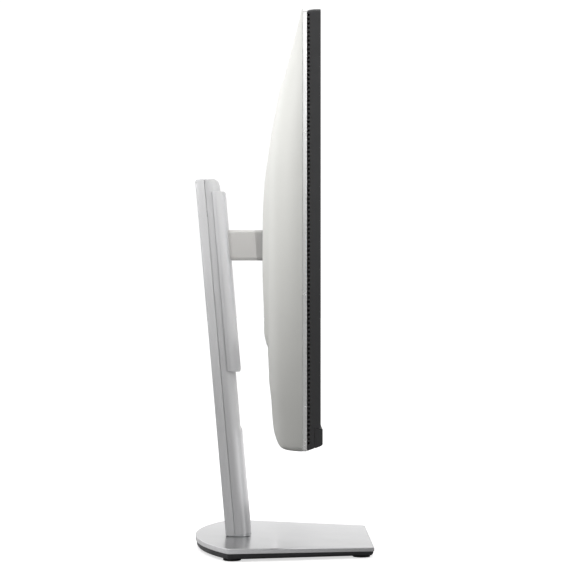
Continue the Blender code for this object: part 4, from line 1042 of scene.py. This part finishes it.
low, high = sockets["ac_inlet"]
cx, cy = (low[0] + high[0]) / 2, (low[1] + high[1]) / 2
socket_piece("mains_inlet", [(cx - 11.8, cy - 7.5), (cx + 11.8, cy - 7.5), (cx + 11.8, cy + 3.6), (cx + 7.6, cy + 7.5),
                             (cx - 7.6, cy + 7.5), (cx - 11.8, cy + 3.6)], 10.4, "ac_inlet")
pins = []
for px, py in ((-7.0, -1.2), (0.0, 2.8), (7.0, -1.2)):
    pins.append(brick(f"pin_{px}", cx + px - 1.0, cx + px + 1.0, cy + py - 2.0, cy + py + 2.0, low[2] + 1.5, low[2] + 11.0,
                      0.35))
show(join("mains_pins", pins), "head", "connector")

# ------------------------------------------------------------------ column
COLUMN_FOOT, COLUMN_TOP = shell_low[2], shell_high[2]
swivel_at = swivel["pos_m"]
COLUMN_Y, COLUMN_Z0 = swivel_at[1] / MM, swivel_at[2] / MM
HALF_C = shell_high[0]
C_FRONT, C_BACK, TRACK, TRACK_END = -12.0, 12.0, -10.4, 110.0
SEAM = 3.3


def column_line(z):
    return COLUMN_Y + LEAN * (z - COLUMN_Z0)


def column_solid(name, outline, y_keep, radius, arc_from, foot_edge=0.35, seam_side=1):
    """Leaning solid from a plan outline: track step at the front, arc over the top, rounded top edge."""
    outline = ccw(outline)

    def top_z(y):
        d = (y - arc_from) * seam_side
        if d >= radius:
            return COLUMN_TOP
        d = max(0.0, d)
        return COLUMN_TOP - radius + math.sqrt(max(0.0, radius ** 2 - (radius - d) ** 2))

    def front(y, z):
        if y_keep is None:
            return y
        limit = C_FRONT + (y_keep - C_FRONT) * smooth(TRACK_END, TRACK_END + 4.5, z)
        return max(y, limit)

    loops = []
    for inset, z in ((foot_edge, COLUMN_FOOT), (foot_edge * 0.3, COLUMN_FOOT + 0.1), (0, COLUMN_FOOT + foot_edge)):
        loops.append([(x, front(y, z), z) for x, y in pulled(outline, inset)])
    levels = [20, 40, 60, 80, 100, 108, 109.6, 110.3, 111, 112, 113, 113.8, 114.5, 115.2, 125, 150, 180, 210, 240, 270,
              300, 325, 340]
    for z in levels:
        loops.append([(x, front(y, z), z) for x, y in outline])
    edge = 0.7
    low_edge = COLUMN_TOP - radius - edge
    span = []
    for x, y in outline:
        y = front(y, 300)
        span.append((x, y, top_z(y)))
    for k in range(6):
        t = k / 5
        loops.append([(x, y, low_edge * (1 - t) + (tz - edge) * t) for x, y, tz in span])
    plan_upper = [(x, front(y, 300)) for x, y in outline]
    depth = max(y for _, y in plan_upper) - min(y for _, y in plan_upper)
    for inset, drop in bead(edge, 4)[1:] + [(i, 0) for i in (1.3, 2.0, 3.0, 4.2, 5.4) if i < depth / 2 - 0.6]:
        loop = []
        for x, y in pulled(plan_upper, inset):
            loop.append((x, y, top_z(y if abs(y - arc_from) > 1e-9 else y) - drop))
        loops.append(loop)
    sheared = [[(x, y + column_line(z), z) for x, y, z in loop] for loop in loops]
    return stack(name, sheared)


SHELL = rounded([(HALF_C, SEAM - 0.17), (-HALF_C, SEAM - 0.17), (-HALF_C, C_FRONT), (HALF_C, C_FRONT)],
                [0.25, 0.25, 11, 11], 10)
column = column_solid("column_front", SHELL, TRACK, 5.0, TRACK)
hollow = rounded([(25.6, 4.0), (-25.6, 4.0), (-25.6, -8.0), (25.6, -8.0)], [0, 0, 6.5, 6.5], 6)


def leaning(name, outline, z0, z1):
    outline = ccw(outline)
    return stack(name, [[(x, y + column_line(z), z) for x, y in outline] for z in (z0, z1)])


combine(column, leaning("hollow", hollow, 5, COLUMN_TOP - 2.4))
FOOT_LINE = [(20.0, 5.0), (64.0, 5.0), (64.0, 12.65), (20.0, 16.1)]     # the foot is cut square to the lean
combine(column, slab("foot_cut", FOOT_LINE, "x", -40, 40, 0))
combine(column, leaning("slot", [(-14.3, -16), (14.3, -16), (14.3, -6), (-14.3, -6)], 221, 317))
show(column, "column", "silver_stand", "column_shell", angle=45, flat=False)

REAR = rounded([(HALF_C - 0.8, C_BACK), (-HALF_C + 0.8, C_BACK), (-HALF_C, SEAM + 0.17), (HALF_C, SEAM + 0.17)],
               [1.7, 1.7, 0.25, 0.25], 8)
rear = column_solid("column_back", REAR, None, 3.0, C_BACK, seam_side=-1)
combine(rear, leaning("rear_hollow", [(-25.6, -4), (25.6, -4), (25.6, 9.6), (-25.6, 9.6)], 5, COLUMN_TOP - 2.4))
combine(rear, slab("foot_cut_rear", FOOT_LINE, "x", -40, 40, 0))
# collar that closes the wedge between the column's square foot and the base
collar_outline = ccw(rounded([(HALF_C, C_BACK), (-HALF_C, C_BACK), (-HALF_C, C_FRONT), (HALF_C, C_FRONT)],
                             [2.4, 2.4, 11, 11], 8))


def collar_loop(inset, low, lift):
    out = []
    for x, y in pulled(collar_outline, inset):
        yy = y + column_line(13.5)
        out.append((x, yy, 12.6 + 0.0186 * (yy - 50.4) if low else 12.65 + (64.0 - yy) * 3.45 / 44.0 - lift))
    return out


collar_loops = [collar_loop(0.55, True, 0), collar_loop(0.55, False, 0.06), collar_loop(2.1, False, 0.06),
                collar_loop(2.1, True, 0)]
n_col = len(collar_outline)
collar_faces = []
for k in range(4):
    a, b = k * n_col, ((k + 1) % 4) * n_col
    collar_faces += [(a + i, a + (i + 1) % n_col, b + (i + 1) % n_col, b + i) for i in range(n_col)]
show(raw("foot_collar", [p for loop in collar_loops for p in loop], collar_faces), "column", "galvanised", angle=40)
screw_z = 30.0
for sx in (-1, 1):
    yc = column_line(screw_z)
    loops = [[(x, yc + y, z) for x, z in circle(sx * 18.0, screw_z, r, 32, 0.04)]
             for r, y in ((2.2, 5.0), (2.2, 9.95), (3.9, 9.95), (3.9, 11.4), (4.35, 11.95), (4.35, 20))]
    combine(rear, stack(f"head_{sx}", loops))
# the rear cover takes the lighter copy of the stand finish, which is painted light
show(rear, "column", "silver_stand", "column_rear_cover", angle=45, flat=False, mat=MATS["silver_stand_rear_painted_light"])

# screws with a cross recess
for side, sx in (("left", -1), ("right", 1)):
    low, high = corners("column_screw_" + side)
    cx, cz = (low[0] + high[0]) / 2, (low[2] + high[2]) / 2
    y_out = high[1]
    screw = turned("screw_" + side, cx, cz, "y",
                   [(1.5, low[1]), (1.8, low[1] + 0.4), (1.8, y_out - 1.8), (3.4, y_out - 1.8), (3.4, y_out - 0.9),
                    (3.1, y_out - 0.4), (2.4, y_out - 0.1), (1.2, y_out)], 32)
    for wx, wz in ((1.7, 0.38), (0.38, 1.7)):
        combine(screw, cutter("cross", cx - wx, cx + wx, y_out - 1.0, y_out + 1, cz - wz, cz + wz))
    screw.name = "cover_screw_" + side
    show(screw, "column", "steel", "column_screw_" + side, angle=40)

# ------------------------------------------------------------------ carriage
CAR_HALF = carriage_high[0]
CAR_LOW, CAR_TOP = carriage_low[2], carriage_high[2]
CAR = ccw(rounded([(CAR_HALF - 0.5, -3.2), (-CAR_HALF + 0.5, -3.2), (-CAR_HALF, -6.2), (-CAR_HALF, -15.5),
                   (CAR_HALF, -15.5), (CAR_HALF, -6.2)], [0.15, 0.15, 2.0, 8.6, 8.6, 2.0], 10))
loops = []
edge = 1.0
for inset, drop in reversed(bead(edge, 5)):
    z = CAR_LOW + drop * 1.6
    loops.append([(x, y + column_line(z), z) for x, y in pulled(CAR, inset * 0.9)])
for z in (175, 190, 210, 230, 250, 270, 290, 310, 325, 334):
    loops.append([(x, y + column_line(z), z) for x, y in CAR])
for inset, drop in bead(0.8, 5):
    z = CAR_TOP - drop
    loops.append([(x, y + column_line(z), z) for x, y in pulled(CAR, inset * 0.9)])
carriage = stack("carriage", loops)
inner = rounded([(CAR_HALF - 2, 2), (-CAR_HALF + 2, 2), (-CAR_HALF + 2, -13.5), (CAR_HALF - 2, -13.5)],
                [0, 0, 9.5, 9.5], 8)
passage = rounded([(28.55, 3), (-28.55, 3), (-28.55, TRACK - 0.5), (28.55, TRACK - 0.5)], [0, 0, 9.0, 9.0], 8)
combine(carriage, leaning("car_inner", inner, CAR_LOW + 2, CAR_TOP - 2))
combine(carriage, leaning("car_passage", passage, CAR_LOW - 5, CAR_TOP + 5))
combine(carriage, leaning("car_tenon", [(-12.5, -30), (12.5, -30), (12.5, 2), (-12.5, 2)], 276.4, 301.6))
carriage.name = "carriage_sleeve"
show(carriage, "carriage", "silver_stand", "carriage_cover", angle=45, flat=False)

# ------------------------------------------------------------------ arm
ARM_HALF = arm_high[0]
ARM_LOW, ARM_TOP, ARM_FRONT = arm_low[2], arm_high[2], arm_low[1]
section = ccw(rounded([(ARM_HALF, ARM_LOW), (ARM_HALF, ARM_TOP), (-ARM_HALF, ARM_TOP), (-ARM_HALF, ARM_LOW)],
                      [3.2] * 4, 8))


def carriage_face(x, z):
    """Front of the carriage's outline, grown by the gap, at x and z."""
    r = 11.9
    cx, cy = CAR_HALF + 0.4 - r, -15.9 + r
    y = -15.9 if abs(x) <= cx else cy - math.sqrt(max(0.0, r * r - (abs(x) - cx) ** 2))
    return y + column_line(z)


loops = []
for inset, drop in reversed(bead(0.7, 4)):
    loops.append([(x, ARM_FRONT + drop, z) for x, z in shrunk(section, inset)])
for t in (0.1, 0.3, 0.5, 0.7, 0.9):
    loops.append([(x, ARM_FRONT + 0.7 + (carriage_face(x, z) - 0.5 - ARM_FRONT - 0.7) * t, z) for x, z in section])
for inset, back in ((0.0, 0.45), (0.12, 0.15), (0.4, 0.0)):
    loops.append([(x, carriage_face(x, z) - back, z) for x, z in shrunk(section, inset)])
ring_now = shrunk(section, 0.4)
cz = (ARM_LOW + ARM_TOP) / 2
for f in (0.8, 0.5, 0.2):
    loops.append([(x, carriage_face(x, cz + (z - cz) * f), cz + (z - cz) * f) for x, z in ring_now])
arm = stack("arm_body", loops)
tidy(arm, 0.001)
tenon = [(46, 277.0), (column_line(277.0) - 7.8, 277.0), (column_line(301.0) - 7.8, 301.0), (46, 301.0)]
combine(arm, slab("tenon", tenon, "x", -12, 12, 0), "UNION")
combine(arm, cutter("cavity", -19.5, 19.5, 10, 40, 278.0, 299.7))
combine(arm, slab("pin_bore", circle(tilt_y, TILT_Z, 4.3, 40), "x", -22.6, 22.6, 0))
for z in (296.0, 282.0):
    yc = column_line(z)
    combine(arm, slab(f"arm_bore_{z}", circle(0.0, z, 2.2, 20), "y", yc - 18.5, yc + 5, 0))
show(arm, "carriage", "arm_metal", "arm_shell", angle=45, flat=False)

# tilt pin and nut, seen from above and below through the gap
low, high = corners("tilt_pin")
pin = turned("hinge_pin", tilt_y, TILT_Z, "x", [(3.4, low[0]), (4.0, low[0] + 0.6), (4.0, high[0] - 0.6),
                                               (3.4, high[0])], 40)
show(pin, "carriage", "steel", "tilt_pin", angle=40)
low, high = corners("tilt_nut")
hexagon = [(tilt_y + 7.6 * math.cos(math.radians(a)), TILT_Z + 7.6 * math.sin(math.radians(a))) for a in range(0, 360, 60)]
nut = slab("hinge_nut", hexagon, "x", low[0], high[0], 0.5)
combine(nut, slab("nut_bore", circle(tilt_y, TILT_Z, 4.3, 32), "x", low[0] - 2, high[0] + 2, 0))
show(nut, "carriage", "steel", "tilt_nut", angle=40)

# ------------------------------------------------------------------ base
CORNER_Y = 50.4
BASE_FRONT, BASE_BACK = plate_low[1], plate_high[1]
BASE_HALF = 119.5
BASE_FRONT_HALF = 88.2


def base_top(y):
    return 12.2 + 0.0186 * (y - CORNER_Y)


def base_under(y):
    return 7.35 + 0.0104 * (y - CORNER_Y)


sag = BASE_BACK - CORNER_Y
arc_r = (BASE_HALF ** 2 + sag ** 2) / (2 * sag)
reach = math.asin(BASE_HALF / arc_r)
arc = [(arc_r * math.sin(reach - 2 * reach * k / 48), BASE_BACK - arc_r + arc_r * math.cos(reach - 2 * reach * k / 48))
       for k in range(49)]
base_outline = rounded([(-BASE_FRONT_HALF, BASE_FRONT), (BASE_FRONT_HALF, BASE_FRONT)] + arc,
                       [3.4, 3.4, 3.0] + [0] * 47 + [3.0], 8)


def base_loop(inset, height):
    inward = shrunk if inset < 3 else pulled
    return [(x, y, height(y)) for x, y in inward(base_outline, inset)]


loops = [base_loop(6.0, base_under), base_loop(0.55, base_under), base_loop(0.16, lambda y: base_under(y) + 0.12),
         base_loop(0.0, lambda y: base_under(y) + 0.5)]
loops += [base_loop(0.0, lambda y: base_top(y) - 0.85), base_loop(0.05, lambda y: base_top(y) - 0.70),
          base_loop(0.60, lambda y: base_top(y) - 0.10), base_loop(0.75, lambda y: base_top(y) - 0.02),
          base_loop(0.95, base_top), base_loop(4.0, base_top), base_loop(14.0, base_top)]
base = stack("base_body", loops)
combine(base, slab("plate_bore", circle(0, COLUMN_Y, 5.2, 48), "z", 0, 20, 0))
seat = [[(x, y, z) for x, y in circle(0, COLUMN_Y, r, 64)] for r, z in ((12.0, 11.2), (12.0, 11.7), (12.35, 12.0),
                                                                       (12.35, 20))]
combine(base, stack("plate_seat", seat))
show(base, "base", "silver_base", "base_plate", angle=32)

pan_loops = [base_loop(9.0, lambda y: pan_low[2]), base_loop(2.8, lambda y: pan_low[2]),
             base_loop(2.35, lambda y: pan_low[2] + 0.12), base_loop(2.0, lambda y: pan_low[2] + 0.5),
             base_loop(1.5, lambda y: pan_low[2] + 1.1), base_loop(0.85, lambda y: base_under(y) - 1.1),
             base_loop(0.82, lambda y: base_under(y) - 0.5), base_loop(1.0, lambda y: base_under(y) - 0.3),
             base_loop(9.0, lambda y: base_under(y) - 0.3)]
pan = stack("under_pan", pan_loops)
combine(pan, slab("pan_well", circle(0, COLUMN_Y, 17.0, 64), "z", 0, 20, 0))
# shallow moulded ribs on the underside
for k, x in enumerate((-60, -30, 30, 60)):
    combine(pan, slab(f"pan_groove_{k}", rounded([(x + 1.2, -66), (x + 1.2, 20), (x - 1.2, 20), (x - 1.2, -66)],
                                                 [1.1] * 4, 4), "z", 0.0, pan_low[2] + 0.7, 0))
pan.name = "under_pan"
show(pan, "base", "black_plastic", "base_pan", angle=40)

for node in ("foot_rear_left", "foot_rear_right", "foot_front_left", "foot_front_right"):
    low, high = corners(node)
    cx, cy = (low[0] + high[0]) / 2, (low[1] + high[1]) / 2
    r = (high[0] - low[0]) / 2
    pad = turned("pad_" + node[5:], cx, cy, "z",
                 [(r * 0.35, 0.12), (r * 0.62, 0.10), (r * 0.66, 0.0), (r - 0.75, 0.0), (r - 0.35, 0.10), (r - 0.08, 0.35),
                  (r, 0.7), (r, high[2] - 0.25), (r - 0.2, high[2]), (r * 0.5, high[2])], 56)
    show(pad, "base", "rubber", node, angle=50)

# ------------------------------------------------------------------ studio
floor_bm = bmesh.new()
bmesh.ops.create_grid(floor_bm, x_segments=2, y_segments=2, size=14.0)
floor_mesh = bpy.data.meshes.new("floor")
floor_bm.to_mesh(floor_mesh)
floor_bm.free()
floor = bpy.data.objects.new("floor", floor_mesh)
floor.location = (0, 0, -0.0002)
bpy.context.scene.collection.objects.link(floor)
f = Nodes("floor_paper")
f.shader.inputs["Roughness"].default_value = 0.9
f.shader.inputs["Specular IOR Level"].default_value = 0.0
path = f.add("ShaderNodeLightPath")
seen = path.outputs["Is Camera Ray"]
mirrored = f.mix(path.outputs["Is Glossy Ray"], (0.09, 0.09, 0.09), (0.60, 0.60, 0.60))
paper = f.mix(seen, mirrored, (0.86, 0.86, 0.86))
f.link(f.mix(1.0, paper, f.grey(f.span(f.noise(3.0, 3.0), 0.3, 0.7, 0.985, 1.0)), "MULTIPLY"),
       f.shader.inputs["Base Color"])
f.shader.inputs["Emission Color"].default_value = (1, 1, 1, 1)
# polished edges mirror the bright cove far behind the object
cove = f.math("MULTIPLY", path.outputs["Is Glossy Ray"], f.span(f.axis(0), 0.35, 1.2, 0.0, 0.75))
f.link(f.math("ADD", f.math("MULTIPLY", seen, 0.65), cove), f.shader.inputs["Emission Strength"])
floor.data.materials.append(f.mat)


def softbox(name, location, target, size, size_y, power):
    data = bpy.data.lights.new(name, "AREA")
    data.shape = "RECTANGLE"
    data.size, data.size_y = size, size_y
    data.energy = power
    ob = bpy.data.objects.new(name, data)
    ob.location = location
    ob.rotation_euler = (Vector(target) - Vector(location)).to_track_quat("-Z", "Y").to_euler()
    bpy.context.scene.collection.objects.link(ob)
    return ob


softbox("overhead", (-0.35, 0.1, 1.25), (-0.2, 0.02, 0.0), 1.1, 1.3, 5.0)
softbox("back_side", (-0.4, 1.6, 0.9), (0, 0, 0.40), 1.0, 0.8, 3.0)
# bounce card in the gap between the head and the column, leaning like the column, for its front corners
card = softbox("gap_card", (0.0, 0.0180, 0.21), (0.0, 1.0, 0.21 - 0.0863), 0.30, 0.34, 0.17)
card.visible_camera = False


def graded(name, location, target, power, cone, radius):
    """Soft spot whose light fades away from its aim, so that the lower half stays calmer."""
    data = bpy.data.lights.new(name, "SPOT")
    data.energy = power
    data.spot_size = math.radians(cone)
    data.spot_blend = 1.0
    data.shadow_soft_size = radius
    ob = bpy.data.objects.new(name, data)
    ob.location = location
    ob.rotation_euler = (Vector(target) - Vector(location)).to_track_quat("-Z", "Y").to_euler()
    bpy.context.scene.collection.objects.link(ob)
    return ob


graded("upper_left", (-1.3, 1.7, 0.85), (-0.1, 0.0, 0.45), 85.0, 16.6, 0.2)
graded("crown_left", (-0.45, 2.0, 0.75), (-0.24, 0.0, 0.43), 74.0, 13.0, 0.15)
graded("upper_right", (-2.1, -0.35, 0.9), (0, 0.0, 0.50), 29.0, 34.0, 0.5)
graded("stand_left", (-2.3, 1.3, 0.75), (0, 0.075, 0.33), 26.0, 8.0, 0.10)
softbox("front_side", (-1.0, -1.6, 0.45), (0, 0.03, 0.2), 0.8, 0.8, 3.5)

world = bpy.data.worlds.new("studio")
bpy.context.scene.world = world
world.use_nodes = True
wt = world.node_tree
background = wt.nodes["Background"]
output = wt.nodes["World Output"]
coords = wt.nodes.new("ShaderNodeTexCoord")
split = wt.nodes.new("ShaderNodeSeparateXYZ")
wt.links.new(coords.outputs["Generated"], split.inputs[0])


def world_span(socket, low, high, out_low, out_high):
    node = wt.nodes.new("ShaderNodeMapRange")
    node.interpolation_type = "SMOOTHSTEP"
    wt.links.new(socket, node.inputs["Value"])
    for key, v in (("From Min", low), ("From Max", high), ("To Min", out_low), ("To Max", out_high)):
        node.inputs[key].default_value = v
    return node.outputs[0]


def world_math(op, a, b):
    node = wt.nodes.new("ShaderNodeMath")
    node.operation = op
    for i, v in enumerate((a, b)):
        if isinstance(v, float):
            node.inputs[i].default_value = v
        else:
            wt.links.new(v, node.inputs[i])
    return node.outputs[0]


# a pale backdrop behind the object, dimmer surroundings, brighter overhead
sky = world_span(split.outputs[2], -0.1, 1.0, 0.16, 0.45)
backdrop = world_math("MULTIPLY", world_span(split.outputs[0], 0.0, 0.75, 0.0, 1.0),
                      world_span(split.outputs[2], -0.10, 0.20, 0.3, 1.0))
wt.links.new(world_math("ADD", sky, world_math("MULTIPLY", backdrop, 0.85)), background.inputs["Strength"])
white = wt.nodes.new("ShaderNodeBackground")
white.inputs["Color"].default_value = (1, 1, 1, 1)
white.inputs["Strength"].default_value = 1.05
rays = wt.nodes.new("ShaderNodeLightPath")
mixer = wt.nodes.new("ShaderNodeMixShader")
wt.links.new(rays.outputs["Is Camera Ray"], mixer.inputs[0])
wt.links.new(background.outputs[0], mixer.inputs[1])
wt.links.new(white.outputs[0], mixer.inputs[2])
wt.links.new(mixer.outputs[0], output.inputs["Surface"])
background.inputs["Color"].default_value = (1, 1, 1, 1)

camera_data = bpy.data.cameras.new("camera")
camera_data.lens = 131.37
camera_data.sensor_width = 36.0
camera_data.shift_x = 0.04035
camera_data.clip_start = 0.05
camera_data.clip_end = 60
camera = bpy.data.objects.new("camera", camera_data)
camera.location = (-2.0, 0.0192, 0.2509)
camera.rotation_euler = (math.radians(90), 0, math.radians(-90))
bpy.context.scene.collection.objects.link(camera)
bpy.context.scene.camera = camera

bpy.context.scene.view_settings.view_transform = "Standard"
bpy.context.scene.view_settings.look = "None"
